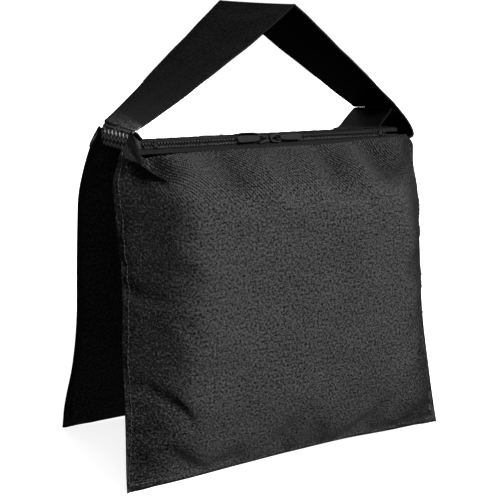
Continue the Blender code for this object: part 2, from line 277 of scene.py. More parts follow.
class Nodes:
    """Shorthand for building one material's node tree."""

    def __init__(self, name, **sockets):
        self.material = bpy.data.materials.new(name)
        self.material.use_nodes = True
        self.tree = self.material.node_tree
        self.shader = self.tree.nodes["Principled BSDF"]
        for key, value in sockets.items():
            self.shader.inputs[key.replace("_", " ")].default_value = value

    def node(self, kind, inputs=None, **settings):
        made = self.tree.nodes.new(kind)
        for key, value in settings.items():
            setattr(made, key, value)
        for key, value in (inputs or {}).items():
            if isinstance(value, bpy.types.NodeSocket):
                self.tree.links.new(value, made.inputs[key])
            else:
                made.inputs[key].default_value = value
        return made

    def math(self, operation, a, b=0.0):
        return self.node("ShaderNodeMath", {0: a, 1: b}, operation=operation).outputs[0]

    def add(self, a, b):
        return self.math("ADD", a, b)

    def sub(self, a, b):
        return self.math("SUBTRACT", a, b)

    def mul(self, a, b):
        return self.math("MULTIPLY", a, b)

    def sine(self, a):
        return self.math("SINE", a)

    def size(self, a):
        return self.math("ABSOLUTE", a)

    def spread(self, value, low, high, first=0.0, last=1.0):
        """Maps low..high to first..last, and holds the ends."""
        return self.node("ShaderNodeMapRange", {
            "Value": value, 1: low, 2: high, 3: first, 4: last}).outputs[0]

    def uv(self):
        return self.node("ShaderNodeUVMap").outputs["UV"]

    def where(self):
        return self.node("ShaderNodeTexCoord").outputs["Object"]

    def parts(self, vector):
        return self.node("ShaderNodeSeparateXYZ", {"Vector": vector}).outputs

    def attribute(self, name):
        return self.node("ShaderNodeAttribute", attribute_name=name).outputs["Fac"]

    def noise(self, vector, scale, detail=2.0, rough=0.5):
        return self.node("ShaderNodeTexNoise", {
            "Vector": vector, "Scale": scale, "Detail": detail,
            "Roughness": rough}).outputs["Fac"]

    def ramp(self, value, stops):
        made = self.node("ShaderNodeValToRGB", {"Fac": value})
        ramp = made.color_ramp
        while len(ramp.elements) < len(stops):
            ramp.elements.new(0.5)
        for element, (place, color) in zip(ramp.elements, stops):
            element.position = place
            element.color = (*color, 1.0) if len(color) == 3 else color
        return made.outputs["Color"]

    def mapping(self, vector, scale=(1, 1, 1), rotation=(0, 0, 0)):
        return self.node("ShaderNodeMapping", {
            "Vector": vector, "Scale": scale, "Rotation": rotation}).outputs["Vector"]

    def blend(self, share, a, b):
        return self.node("ShaderNodeMix", {0: share, 6: a, 7: b}, data_type="RGBA").outputs[2]

    def finish(self, color=None, rough=None, height=None, depth=0.001, strength=1.0):
        links = self.tree.links
        if color is not None:
            links.new(color, self.shader.inputs["Base Color"])
        if rough is not None:
            links.new(rough, self.shader.inputs["Roughness"])
        if height is not None:
            made = self.node("ShaderNodeBump", {
                "Height": height, "Strength": strength, "Distance": depth})
            links.new(made.outputs["Normal"], self.shader.inputs["Normal"])
        return self.material


def grey(value):
    return (value, value, value, 1.0)


# How far up the cloth of an outer panel its top slope starts
SLOPE_START = 0.214


def woven(n, uv, pitch):
    """Height of a plain weave of threads pitch apart: over and under in both directions."""
    part = n.parts(uv)
    turn = np.pi / pitch
    a = n.sine(n.mul(part[0], turn))
    b = n.sine(n.mul(part[1], turn))
    return n.mul(n.size(a), n.size(b))


def make_woven_polyester(name, level, gloss=0.11, seed=0.0, stops=(0.385, 0.61)):
    """Coarse plain-woven polyester, whose UV is metres on the cloth from the middle of its
    lower edge. The weave shows a strong diagonal hatch on the stretched top of a pouch. The
    colour is darkened near the side seams, as painted shade on the flanks, and where the fold
    attribute is high, as painted shade in the dents of the top slope and the sunken corner."""
    n = Nodes(name, Roughness=0.55, Specular_IOR_Level=gloss)
    uv = n.uv()
    across, up = n.parts(uv)[:2]
    far = n.size(across)
    over = n.mul(n.spread(up, SLOPE_START - 0.008, SLOPE_START + 0.008, 0.10, 1.0),
                 n.spread(far, 0.118, 0.100, 0.10, 1.0))
    # Painted shade: fold darkens the dents and the sunken corner, and side darkens the flanks near
    # the side seams, but mostly not on the left of the top slope (lit)
    fold = n.attribute("fold")
    side = n.mul(n.spread(far, 0.084, 0.126), n.math("LESS_THAN", far, 0.25))
    lit = n.mul(over, n.math("LESS_THAN", across, 0.0))
    side = n.mul(side, n.sub(1.0, n.mul(lit, 0.85)))
    weave = woven(n, uv, 0.00062)
    wobble = n.noise(uv, 26.0, 1.0)
    turned = n.parts(n.mapping(uv, rotation=(0, 0, -0.55)))
    streak = n.sine(n.add(n.mul(turned[0], 2 * np.pi / 0.0023), n.mul(wobble, 1.6)))
    speckle = n.noise(uv, 560.0, 2.5, 0.75)
    broken = n.add(0.25, n.mul(n.noise(uv, 380.0, 1.0), 1.5))
    cross = n.add(0.55, n.mul(n.sine(n.mul(turned[1], 2 * np.pi / 0.0021)), 0.45))
    streak = n.mul(n.mul(n.mul(streak, cross), over), broken)
    patches = n.noise(uv, 22.0 + seed, 3.0, 0.55)
    slub = n.noise(n.mapping(uv, (40, 900, 1)), 1.0, 2.0)
    tone = n.add(n.mul(speckle, 0.92), n.mul(patches, 0.08))
    tone = n.add(tone, n.mul(n.sub(slub, 0.5), 0.10))
    tone = n.add(tone, n.mul(streak, 0.150))
    # Painted shade on the flanks (side) and in the dents and sunken corner (fold)
    tone = n.sub(tone, n.mul(side, 0.105))
    tone = n.sub(tone, n.mul(fold, 0.095))
    low, high = level * 0.02, level * 2.05
    color = n.ramp(tone, ((stops[0], (low, low, low * 1.01)),
                          (stops[1], (high, high, high * 1.01))))
    rough = n.sub(n.add(0.42, n.mul(speckle, 0.22)), n.mul(streak, 0.10))
    rough = n.sub(n.add(rough, n.mul(fold, 0.16)), n.mul(side, 0.08))
    height = n.add(n.mul(weave, 0.20), n.mul(speckle, 0.9))
    height = n.add(height, n.mul(streak, 0.45))
    return n.finish(color, rough, height, depth=0.0012, strength=1.0)


def make_webbing(name, level, edge_highlight=0.9):
    """Ribbed webbing. UV.x runs across the 50 mm width and UV.y along it, in metres."""
    n = Nodes(name, Roughness=0.6, Specular_IOR_Level=0.05)
    uv = n.uv()
    across, along = n.parts(uv)[:2]
    chevron = n.math("PINGPONG", across, 0.0025)
    rib = n.sine(n.mul(n.add(along, n.mul(chevron, 0.8)), 2 * np.pi / 0.00165))
    column = n.size(n.sine(n.mul(across, np.pi / 0.00125)))
    fuzz = n.noise(n.mapping(uv, (1, 0.6, 1)), 620.0, 2.5, 0.75)
    patches = n.noise(uv, 60.0, 3.0)
    # Painted highlight: the colour of both selvages is lightened, standing in for the light their
    # rounded edges catch; the worn tone is this painted highlight
    selvage_highlight_mask = n.math("GREATER_THAN", n.size(across), 0.0243)
    tone = n.add(n.mul(fuzz, 0.7), n.mul(patches, 0.3))
    tone = n.add(tone, n.mul(rib, 0.05))
    low, high = level * 0.02, level * 2.2
    base = n.ramp(tone, ((0.40, (low, low, low)), (0.62, (high, high, high * 1.02))))
    worn = level * (2.2 + edge_highlight)
    color = n.blend(n.mul(selvage_highlight_mask, 0.75), base, grey(worn))
    # Painted highlight: the fuzz turns light grey where the fold attribute is set, on the bend over
    # the strap's left end
    bend_highlight = n.mul(n.spread(fuzz, 0.42, 0.60), n.attribute("fold"))
    color = n.blend(bend_highlight, color, grey(0.16))
    height = n.add(n.mul(rib, 0.30), n.mul(column, 0.45))
    height = n.add(height, n.mul(fuzz, 0.5))
    rough = n.add(0.46, n.mul(fuzz, 0.25))
    return n.finish(color, rough, height, depth=0.00055, strength=0.85)


def make_tape(name, level):
    """Zip tape with a fine zigzag rib."""
    n = Nodes(name, Roughness=0.7, Sheen_Weight=0.02, Specular_IOR_Level=0.08)
    uv = n.uv()
    part = n.parts(uv)
    zigzag = n.math("PINGPONG", part[1], 0.0016)
    rib = n.sine(n.mul(n.add(part[0], zigzag), 2 * np.pi / 0.0009))
    fuzz = n.noise(uv, 1100.0, 2.0)
    tone = n.add(n.mul(fuzz, 0.8), n.mul(rib, 0.10))
    color = n.ramp(tone, ((0.25, grey(level * 0.5)), (0.65, grey(level * 1.7))))
    height = n.add(n.mul(rib, 0.5), n.mul(fuzz, 0.4))
    return n.finish(color, None, height, depth=0.00018, strength=0.8)


def make_nylon(name, level):
    """Dyed nylon of the zip coils, slightly shiny."""
    n = Nodes(name, Roughness=0.42, Specular_IOR_Level=0.14)
    where = n.where()
    fine = n.noise(where, 900.0, 2.0)
    wide = n.noise(where, 90.0, 2.0)
    tone = n.add(n.mul(fine, 0.5), n.mul(wide, 0.5))
    color = n.ramp(tone, ((0.3, grey(level * 0.6)), (0.7, grey(level * 1.5))))
    rough = n.add(0.26, n.mul(fine, 0.25))
    return n.finish(color, rough, fine, depth=0.00005, strength=0.5)


def make_thread(name, level):
    """Thick twisted thread, whose UV.x runs along it."""
    n = Nodes(name, Roughness=0.45, Sheen_Weight=0.15)
    uv = n.uv()
    part = n.parts(uv)
    twist = n.sine(n.add(n.mul(part[0], 2 * np.pi / 0.0007),
                         n.mul(part[1], 2 * np.pi)))
    fuzz = n.noise(n.where(), 1500.0, 1.0)
    tone = n.add(n.mul(fuzz, 0.6), n.mul(twist, 0.15))
    color = n.ramp(tone, ((0.15, grey(level * 0.4)), (0.55, grey(level * 1.6))))
    return n.finish(color, None, twist, depth=0.00008, strength=0.7)


def make_metal(name, level):
    """Black enamelled zinc, with dust in its hollows and small worn spots on its edges."""
    n = Nodes(name, Metallic=0.0, Roughness=0.4, Specular_IOR_Level=0.05)
    where = n.where()
    scratches = n.noise(n.mapping(where, (260, 1400, 1400)), 1.0, 3.0, 0.6)
    grime = n.noise(where, 520.0, 3.0, 0.6)
    chips = n.noise(where, 1300.0, 1.0)
    pointed = n.node("ShaderNodeNewGeometry").outputs["Pointiness"]
    edge = n.mul(n.sub(pointed, 0.54), 6.0)
    edge = n.mul(n.math("MINIMUM", n.math("MAXIMUM", edge, 0.0), 1.0),
                 n.math("GREATER_THAN", chips, 0.56))
    tone = n.add(n.mul(grime, 0.6), n.mul(scratches, 0.4))
    base = n.ramp(tone, ((0.35, grey(level * 0.4)), (0.65, grey(level * 1.5))))
    color = n.blend(edge, base, grey(level * 9.0))
    rough = n.add(0.38, n.mul(tone, 0.30))
    return n.finish(color, rough, tone, depth=0.00008, strength=0.5)


def make_liner_fabric(name):
    n = Nodes(name, Roughness=0.55, Sheen_Weight=0.1)
    where = n.where()
    dust = n.noise(where, 60.0, 4.0, 0.6)
    fine = n.noise(where, 1400.0, 2.0)
    tone = n.add(n.mul(dust, 0.7), n.mul(fine, 0.3))
    color = n.ramp(tone, ((0.3, (0.27, 0.26, 0.24)), (0.7, (0.44, 0.435, 0.42))))
    return n.finish(color, None, fine, depth=0.0002, strength=0.7)


def make_sand(name):
    n = Nodes(name, Roughness=0.95)
    where = n.where()
    cells = n.node("ShaderNodeTexVoronoi", {"Vector": where, "Scale": 1500.0})
    wide = n.noise(where, 40.0, 3.0)
    part = n.parts(cells.outputs["Color"])[0]
    tone = n.add(n.mul(part, 0.7), n.mul(wide, 0.3))
    color = n.ramp(tone, ((0.15, (0.30, 0.22, 0.13)), (0.5, (0.52, 0.41, 0.27)),
                          (0.85, (0.70, 0.60, 0.45))))
    return n.finish(color, None, cells.outputs["Distance"], depth=0.0004, strength=0.8)


def make_floor(name):
    n = Nodes(name, Roughness=0.9, Specular_IOR_Level=0.1)
    where = n.where()
    wide = n.noise(where, 1.5, 2.0)
    color = n.ramp(wide, ((0.3, (0.88, 0.88, 0.88)), (0.7, (0.90, 0.90, 0.90))))
    n.shader.inputs["Emission Color"].default_value = (1, 1, 1, 1)
    n.shader.inputs["Emission Strength"].default_value = 0.80
    return n.finish(color)


CLOTH = make_woven_polyester("cloth_outer", 0.0275)
# Painted shade: a darker, more contrasted copy of the same polyester for the back pouch, which is
# in shadow
CLOTH_BACK_SHADED = make_woven_polyester("cloth_back_shaded", 0.0200, seed=4.0, stops=(0.43, 0.57))
BRIDGE_CLOTH = make_woven_polyester("cloth_bridge", 0.0085, gloss=0.06, seed=9.0)
WEBBING = make_webbing("webbing", 0.0022)
# Painted shade: a darker copy of the same webbing, with dark selvages, for the sewn-down ends in
# the shadow under the handle's feet
WEBBING_TAIL_SHADED = make_webbing("webbing_tail_shaded", 0.0018, -1.0)
TAPE = make_tape("zip_tape", 0.0055)
NYLON = make_nylon("zip_nylon", 0.009)
THREAD = make_thread("thread", 0.26)
DARK_THREAD = make_thread("thread_dark", 0.018)
METAL = make_metal("slider_metal", 0.0035)
LINER = make_liner_fabric("liner_fabric")
SAND = make_sand("sand")
FLOOR = make_floor("floor")

BY_SLOT = {"woven_polyester": CLOTH, "webbing": WEBBING, "zip_tape": TAPE, "zip_coil": NYLON,
           "slider_metal": METAL, "thread": THREAD, "liner_fabric": LINER, "sand": SAND}
for node_name, node in frame["nodes"].items():
    node.data.materials.clear()
    node.data.materials.append(BY_SLOT[SLOTS[node_name]])


# ---------------------------------------------------------------- pouch cloth

# Which side of the middle plane each pouch is on
SIDES = {"front": -1, "back": 1}
# Height of the side seam, then the middle of the outer panel (out, z), for each guide row
SEAM_Z = (0.0010, 0.0100, 0.0200, 0.0350, 0.0568, 0.0984, 0.1531, 0.1969, 0.2180, 0.2300,
          0.2400, 0.2470, 0.2540)
LOWER_MIDDLE = ((0.0660, 0.0028), (0.0700, 0.0120), (0.0755, 0.0225), (0.0815, 0.0400),
                (0.0858, 0.0620), (0.0875, 0.1000), (0.0865, 0.1500), (0.0840, 0.1900),
                (0.0800, 0.2110))
MIDDLE = {
    "front": LOWER_MIDDLE + ((0.0705, 0.2215), (0.0560, 0.2310), (0.0450, 0.2360),
                             (0.0385, 0.2385)),
    "back": LOWER_MIDDLE + ((0.0700, 0.2200), (0.0560, 0.2277), (0.0450, 0.2312),
                            (0.0385, 0.2330)),
}

# (z, out) of the seams, then (z, half width) of a pouch's left and right edges
SEAM_OUT = ((0.000, 0.0660), (0.035, 0.0615), (0.070, 0.0560), (0.110, 0.0505),
            (0.150, 0.0470), (0.190, 0.0420), (0.220, 0.0370), (0.256, 0.0330))
LEFT_EDGE = {
    "front": ((0.000, 0.1385), (0.025, 0.1370), (0.059, 0.1350), (0.079, 0.1346),
              (0.107, 0.1335), (0.145, 0.1312), (0.173, 0.1305), (0.184, 0.1316),
              (0.207, 0.1325), (0.218, 0.1325), (0.222, 0.1311), (0.242, 0.1235),
              (0.2544, 0.1160)),
    "back": ((0.000, 0.1400), (0.011, 0.1428), (0.032, 0.1400), (0.053, 0.1360),
             (0.075, 0.1330), (0.147, 0.1315), (0.184, 0.1316), (0.204, 0.1304),
             (0.220, 0.1272), (0.236, 0.1225), (0.246, 0.1174), (0.2556, 0.1135)),
}
RIGHT_EDGE = {
    "front": ((0.000, 0.1393), (0.029, 0.1355), (0.063, 0.1327), (0.105, 0.1302),
              (0.172, 0.1294), (0.198, 0.1300), (0.213, 0.1268), (0.225, 0.1275),
              (0.236, 0.1280), (0.2435, 0.1215)),
    "back": ((0.000, 0.1390), (0.029, 0.1362), (0.063, 0.1335), (0.105, 0.1312),
             (0.172, 0.1302), (0.198, 0.1300), (0.213, 0.1270), (0.225, 0.1270),
             (0.236, 0.1235), (0.2435, 0.1185)),
}
RIGHT_SEAM_Z = SEAM_Z[:9] + (0.2270, 0.2335, 0.2385, 0.2425)

# Ridges between the face and the flanks, and the guides beside them, as (x, out, z)
LEFT_RIDGE = ((-0.1180, 0.0694, 0.0006), (-0.1135, 0.0690, 0.0115), (-0.1080, 0.0735, 0.0215),
              (-0.1020, 0.0795, 0.0390), (-0.0990, 0.0832, 0.0610), (-0.0975, 0.0848, 0.0995),
              (-0.0965, 0.0845, 0.1500), (-0.0945, 0.0830, 0.1920), (-0.0955, 0.0787, 0.2125),
              (-0.1050, 0.0712, 0.2240), (-0.1150, 0.0625, 0.2330), (-0.1172, 0.0515, 0.2425),
              (-0.1168, 0.0372, 0.2550))
RIGHT_RIDGE = ((0.1180, 0.0660, 0.0020), (0.1135, 0.0690, 0.0115), (0.1080, 0.0735, 0.0215),
               (0.1030, 0.0795, 0.0390), (0.1000, 0.0830, 0.0610), (0.0970, 0.0845, 0.0995),
               (0.0945, 0.0845, 0.1500), (0.0900, 0.0820, 0.1880), (0.0800, 0.0745, 0.2120),
               (0.0930, 0.0640, 0.2195), (0.1030, 0.0545, 0.2265), (0.1110, 0.0450, 0.2330),
               (0.1170, 0.0372, 0.2405))
# Upper four points of the guides that shape the sunken left corner and the full right corner
POCKET = ((-0.0985, 0.0668, 0.2180), (-0.1045, 0.0560, 0.2208), (-0.1090, 0.0465, 0.2262),
          (-0.1108, 0.0390, 0.2352))
POCKET_EDGE = ((-0.0880, 0.0693, 0.2202), (-0.0918, 0.0558, 0.2264), (-0.0962, 0.0452, 0.2318),
               (-0.0996, 0.0386, 0.2372))
RIGHT_RISE = ((0.0750, 0.0675, 0.2185), (0.0800, 0.0555, 0.2262), (0.0840, 0.0455, 0.2335),
              (0.0850, 0.0382, 0.2404))
INNER_MIDDLE = ((0.0660, 0.0028), (0.0622, 0.0110), (0.0595, 0.0215), (0.0540, 0.0390),
                (0.0478, 0.0610), (0.0397, 0.0995), (0.0335, 0.1500), (0.0306, 0.1900),
                (0.0296, 0.2100), (0.0291, 0.2200), (0.0288, 0.2290), (0.0286, 0.2350),
                (0.0285, 0.2404))

# Spans of an outer panel's width and their columns, then two columns and the rows of its grid
COLUMN_SHARES = ((-1.0, -0.955, 2), (-0.955, -0.72, 11), (-0.72, 0.70, 47), (0.70, 0.955, 11),
                 (0.955, 1.0, 2))
HEM_COLUMN = 2
RIDGE_COLUMN = 13
ROW_COUNT = 62
# Steps of the cloth simulation, and how far it may move a point at all and inward
CLOTH_STEPS, CLOTH_CAP, CLOTH_INWARD = 20, 0.0035, 0.0010
# (x, lift) of the swells and dents that the zip pulls into the top slope
TOP_DENTS = ((-0.116, 0.0), (-0.100, -0.0006), (-0.078, 0.0022), (-0.050, -0.0050),
             (-0.020, 0.0008), (0.000, -0.0012), (0.018, 0.0006), (0.037, -0.0048),
             (0.060, 0.0026), (0.082, -0.0055), (0.104, 0.0010), (0.112, 0.0))
# How far out the left and right edges move
WIDEN = {"front": (0.0009, 0.0019), "back": (0.0017, 0.0012)}
# How far to the right the dents lie, against TOP_DENTS
DENT_SHIFT = {"front": 0.0, "back": 0.021}


def seam_points(prefix):
    """The left and right edges of the pouch for each guide row, as (x, out, z)."""
    left_z = np.array(SEAM_Z)
    right_z = np.array(RIGHT_SEAM_Z)
    if prefix == "back":
        left_z = left_z * 1.004
    left = np.stack([-table(LEFT_EDGE[prefix], left_z), table(SEAM_OUT, left_z), left_z], 1)
    right = np.stack([table(RIGHT_EDGE[prefix], right_z), table(SEAM_OUT, right_z), right_z], 1)
    left[:-2, 0] -= WIDEN[prefix][0]
    right[:-2, 0] += WIDEN[prefix][1]
    left[0] += (-0.0014, 0.0052, -0.0008)
    if prefix == "back":
        left[-1, 2] -= 0.0028
        left[-2, 2] -= 0.0012
    right[0] += (-0.0006, 0.0010, -0.0004)
    return left, right


def between(a, b, share, lift):
    """Guide points between two guides; lift moves them out (x and out as a plane)."""
    a, b = np.asarray(a, float), np.asarray(b, float)
    made = a + share * (b - a)
    run = (b - a)[:, :2]
    length = np.maximum(np.linalg.norm(run, axis=1), 1e-9)
    away = np.stack([-run[:, 1], run[:, 0]], 1) / length[:, None]
    away[away[:, 1] < 0] *= -1
    made[:, :2] += away * np.asarray(lift)[:, None]
    return made


def outer_guides(prefix):
    """Upright guide lines over the outer panel, from left to right, and their shares across."""
    left, right = seam_points(prefix)
    ridge_l, ridge_r = np.array(LEFT_RIDGE), np.array(RIGHT_RIDGE)
    out, z = np.array(MIDDLE[prefix]).T
    raised = np.array((0, 0, 0, 0, 0, 0, 0, 0.5, 1.0, 1.0, 1.0, 0.6, 0.0))
    centre = np.stack([0 * out, out, z], 1)
    near_l = np.stack([0 * out - 0.048, out - 0.0004, z + 0.0012 * raised], 1)
    near_r = np.stack([0 * out + 0.048, out - 0.0012 * raised, z - 0.0010 * raised], 1)
    near_l[0, 1:] = 0.0672, 0.0018
    near_r[0, 2] = 0.0036
    hollow = np.array((0, 0.4, 0.2, -0.8, -2.0, -3.0, -3.2, -3.0, -2.0, -0.8, -0.3, 0, 0)) * 1e-3
    flank_l = between(left, ridge_l, 0.52, hollow)
    flank_r = between(right, ridge_r, 0.52, hollow * 0.7)
    hem_l = between(left, ridge_l, 0.085, 0 * hollow - 0.0013)
    hem_r = between(right, ridge_r, 0.085, 0 * hollow - 0.0013)
    pocket = between(ridge_l, near_l, 0.12, 0 * hollow + 0.0006)
    pocket_edge = between(ridge_l, near_l, 0.30, 0 * hollow + 0.0009)
    rise = between(near_r, ridge_r, 0.66, 0 * hollow + 0.0008)
    pocket[9:], pocket_edge[9:], rise[9:] = POCKET, POCKET_EDGE, RIGHT_RISE
    if prefix == "back":
        ridge_l[-2:, 2] -= 0.0020, 0.0044
        lower = (np.array(MIDDLE["front"]) - np.array(MIDDLE["back"]))[9:, 1]
        for guide, part in ((pocket, 0.8), (pocket_edge, 1.0), (rise, 1.0), (ridge_r, 0.35)):
            guide[9:, 2] -= part * lower
    shares = (-1, -0.955, -0.855, -0.72, -0.66, -0.57, -0.33, 0, 0.33, 0.56, 0.70, 0.855,
              0.955, 1)
    guides = (left, hem_l, flank_l, ridge_l, pocket, pocket_edge, near_l, centre, near_r, rise,
              ridge_r, flank_r, hem_r, right)
    return shares, guides


def inner_guides(prefix):
    """The same for the panel that faces the gap between the pouches."""
    left, right = seam_points(prefix)
    out, z = np.array(INNER_MIDDLE).T
    shares = (-1, -0.955, -0.85, -0.66, -0.33, 0, 0.33, 0.66, 0.85, 0.955, 1)
    guides = []
    for share in shares:
        edge = left if share < 0 else right
        level = abs(share)
        top = np.clip((np.arange(len(z)) - 7) / 3, 0, 1)
        fullness = (1 - level ** (2.6 + 6 * top)) * (1.0 if level < 0.9 else 0.75)
        made = edge.copy()
        made[:, 0] = edge[:, 0] * level
        made[:, 1] = edge[:, 1] + fullness * (out - edge[:, 1])
        rise = 1 - level ** (5 + 7 * top)
        made[:, 2] = edge[:, 2] + rise * (z - edge[:, 2])
        made[0, 2] = 0.0028 + (edge[0, 2] - 0.0028) * level**7
        made[0, 1] = 0.0660 + (edge[0, 1] - 0.0660) * level**7
        guides.append(made)
    return shares, guides


def panel_grid(shares, guides, splits):
    """Grid of points over a panel, and the place of each of its rows among the guide rows."""
    rows = np.arange(len(guides[0]), dtype=float)
    path = guides[len(guides) // 2][:, 1:]
    run = run_along(path)
    at = np.interp(np.linspace(0, run[-1], ROW_COUNT), run, rows)
    lines = np.stack([curve(rows, g, at) for g in guides], 1)
    shares = np.array(shares, float)
    pieces = []
    for low, high, count in splits:
        inside = (shares >= low - 1e-9) & (shares <= high + 1e-9)
        u = np.linspace(low, high, count + 1)
        u = u if high >= 1 else u[:-1]
        piece = np.stack([curve(shares[inside], line[inside], u) for line in lines])
        pieces.append(piece)
    grid = np.concatenate(pieces, 1)
    return grid, at


def smooth_grid(grid, weight, passes):
    """Rounds a grid across and along its rows, by weight at each row."""
    for _ in range(passes):
        moved = grid.copy()
        moved[:, 1:-1] += 0.5 * (0.5 * (grid[:, :-2] + grid[:, 2:]) - grid[:, 1:-1])
        grid = grid + weight[:, None, None] * (moved - grid)
    for _ in range(passes):
        moved = grid.copy()
        moved[1:-1] += 0.5 * (0.5 * (grid[:-2] + grid[2:]) - grid[1:-1])
        grid = grid + weight[:, None, None] * (moved - grid)
    return grid


def shape_outer(prefix, grid, at, seed):
    """Adds the dents of the top slope and the soft waves and creases of the face."""
    weight = np.interp(at, (0, 0.5, 7.0, 8.2, 9.2, 12), (0, 1, 1, 0.75, 0.25, 0.10))
    grid = smooth_grid(grid, weight, 3)
    normal = grid_normals(grid)
    normal *= np.where(normal[..., 1:2] + 0.6 * normal[..., 2:3] < 0, -1, 1)
    x, z = grid[..., 0], grid[..., 2]
    shift = DENT_SHIFT[prefix]
    slope = np.interp(at, (7.4, 8.6, 9.6, 10.8, 11.7, 12), (0, 0.45, 1.0, 0.95, 0.3, 0))[:, None]
    lift = slope * np.interp(x - shift, *zip(*TOP_DENTS))
    face = np.interp(at, (0, 1.5, 3, 8, 9), (0, 0.4, 1, 1, 0))[:, None]
    edge = np.clip((0.130 - np.abs(x)) / 0.03, 0, 1)
    lift = lift + face * edge * 0.0009 * waves(grid, 0.085, seed)
    lift = lift + face * edge * 0.00035 * waves(grid, 0.030, seed + 1)
    level_fold = bump(z, 0.071 + 0.10 * (x + 0.03), 0.004) * bump(x, -0.02, 0.055)
    upright_fold = bump(x, 0.104 - 0.05 * (z - 0.05), 0.0045) * bump(z, 0.052, 0.030)
    lift = lift - (0.0006 * level_fold + 0.0008 * upright_fold) * face
    return grid + normal * lift[..., None]


def shape_inner(grid, at, seed):
    """Adds waves, slanting folds at the left and the ridge of the cross seam."""
    weight = np.interp(at, (0, 0.5, 12), (0, 1, 1))
    grid = smooth_grid(grid, weight, 2)
    x, z = grid[..., 0], grid[..., 2]
    open_part = np.clip((0.128 - np.abs(x)) / 0.02, 0, 1)
    open_part = open_part * np.interp(at, (0, 1.5, 3, 10.5, 12), (0, 0.3, 1, 1, 0))[:, None]
    lift = 0.0011 * waves(grid, 0.070, seed) + 0.0005 * waves(grid, 0.028, seed + 1)
    slant = z + 0.9 * x
    for place, depth in ((0.015, 0.0012), (0.032, 0.0010), (0.055, 0.0009)):
        lift = lift + depth * bump(slant, place, 0.0045) * bump(x, -0.100, 0.030)
    cross = 0.184 + 0.002 * np.sin(30 * x)
    lift = lift + 0.0010 * bump(z, cross, 0.0022)
    made = grid.copy()
    made[..., 1] += lift * open_part
    return made


def run_cloth(name, points, faces, pinned):
    """Swells and settles the cloth, and returns the moved points. The limit on inward moves
    keeps the fill inside."""
    obj = new_object(name, points, faces, CLOTH)
    fix_normals(obj)
    normals = np.array([v.normal for v in obj.data.vertices], float)
    if ((points - points.mean(0)) * normals).sum() < 0:
        normals = -normals
    group = obj.vertex_groups.new(name="pinned")
    for index in np.nonzero(pinned > 0)[0]:
        group.add([int(index)], float(pinned[index]), "REPLACE")
    cloth = obj.modifiers.new("cloth", "CLOTH")
    settings = cloth.settings
    settings.quality = 7
    settings.mass = 0.25
    settings.tension_stiffness = settings.compression_stiffness = 20
    settings.shear_stiffness = 8
    settings.bending_stiffness = 0.35
    settings.tension_damping = settings.compression_damping = 12
    settings.use_pressure = True
    settings.uniform_pressure_force = 3.0
    settings.shrink_min = -0.035
    settings.vertex_group_mass = "pinned"
    settings.effector_weights.gravity = 0.0
    cloth.collision_settings.use_collision = False
    cloth.point_cache.frame_start, cloth.point_cache.frame_end = 1, 24
    for step in range(1, CLOTH_STEPS + 1):
        bpy.context.scene.frame_set(step)
    graph = bpy.context.evaluated_depsgraph_get()
    settled = obj.evaluated_get(graph).data
    moved = np.array([v.co for v in settled.vertices], float)
    bpy.context.scene.frame_set(1)
    bpy.data.objects.remove(obj, do_unlink=True)
    step = moved - points
    inward = np.minimum((step * normals).sum(1) + CLOTH_INWARD, 0)
    step -= normals * inward[:, None]
    size = np.linalg.norm(step, axis=1, keepdims=True)
    return points + step * np.minimum(1, CLOTH_CAP / np.maximum(size, 1e-9))


def make_edge_stitches(prefix, side, panel):
    """A row of stitches a few millimetres inside the pouch's sides and bottom."""
    last = len(panel) - 4
    normal = grid_normals(panel)
    normal[normal[..., 1] * side < 0] *= -1
    lifted = panel + normal * 0.00022
    left, right = lifted[1:last, HEM_COLUMN], lifted[1:last, -1 - HEM_COLUMN]
    bottom = lifted[1, HEM_COLUMN + 1:-1 - HEM_COLUMN]
    path = np.concatenate([left[::-1], bottom, right])
    run = run_along(path)
    builder = Builder()
    for start in np.arange(0.001, run[-1] - 0.004, 0.0037):
        at = start + np.linspace(0, 0.0029, 5)
        stitch = np.stack([np.interp(at, run, path[:, k]) for k in range(3)], 1)
        stitch[[0, -1], 1] -= side * 0.00035
        builder.tube(stitch, 0.00027, sides=5, up=(0, side, 0.2))
    obj = builder.make(prefix + "_edge_stitches", DARK_THREAD)
    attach(obj, prefix + "_pouch")


def cloth_lengths(grid):
    """Lengths along the cloth, across from its middle and up from its lower edge."""
    rows, cols = grid.shape[:2]
    step = np.linalg.norm(np.diff(grid, axis=1), axis=-1)
    across = np.concatenate([np.zeros((rows, 1)), np.cumsum(step, axis=1)], 1)
    across -= across[:, cols // 2:cols // 2 + 1]
    step = np.linalg.norm(np.diff(grid, axis=0), axis=-1)
    up = np.concatenate([np.zeros((1, cols)), np.cumsum(step, axis=0)], 0)
    return np.stack([across, up], -1)


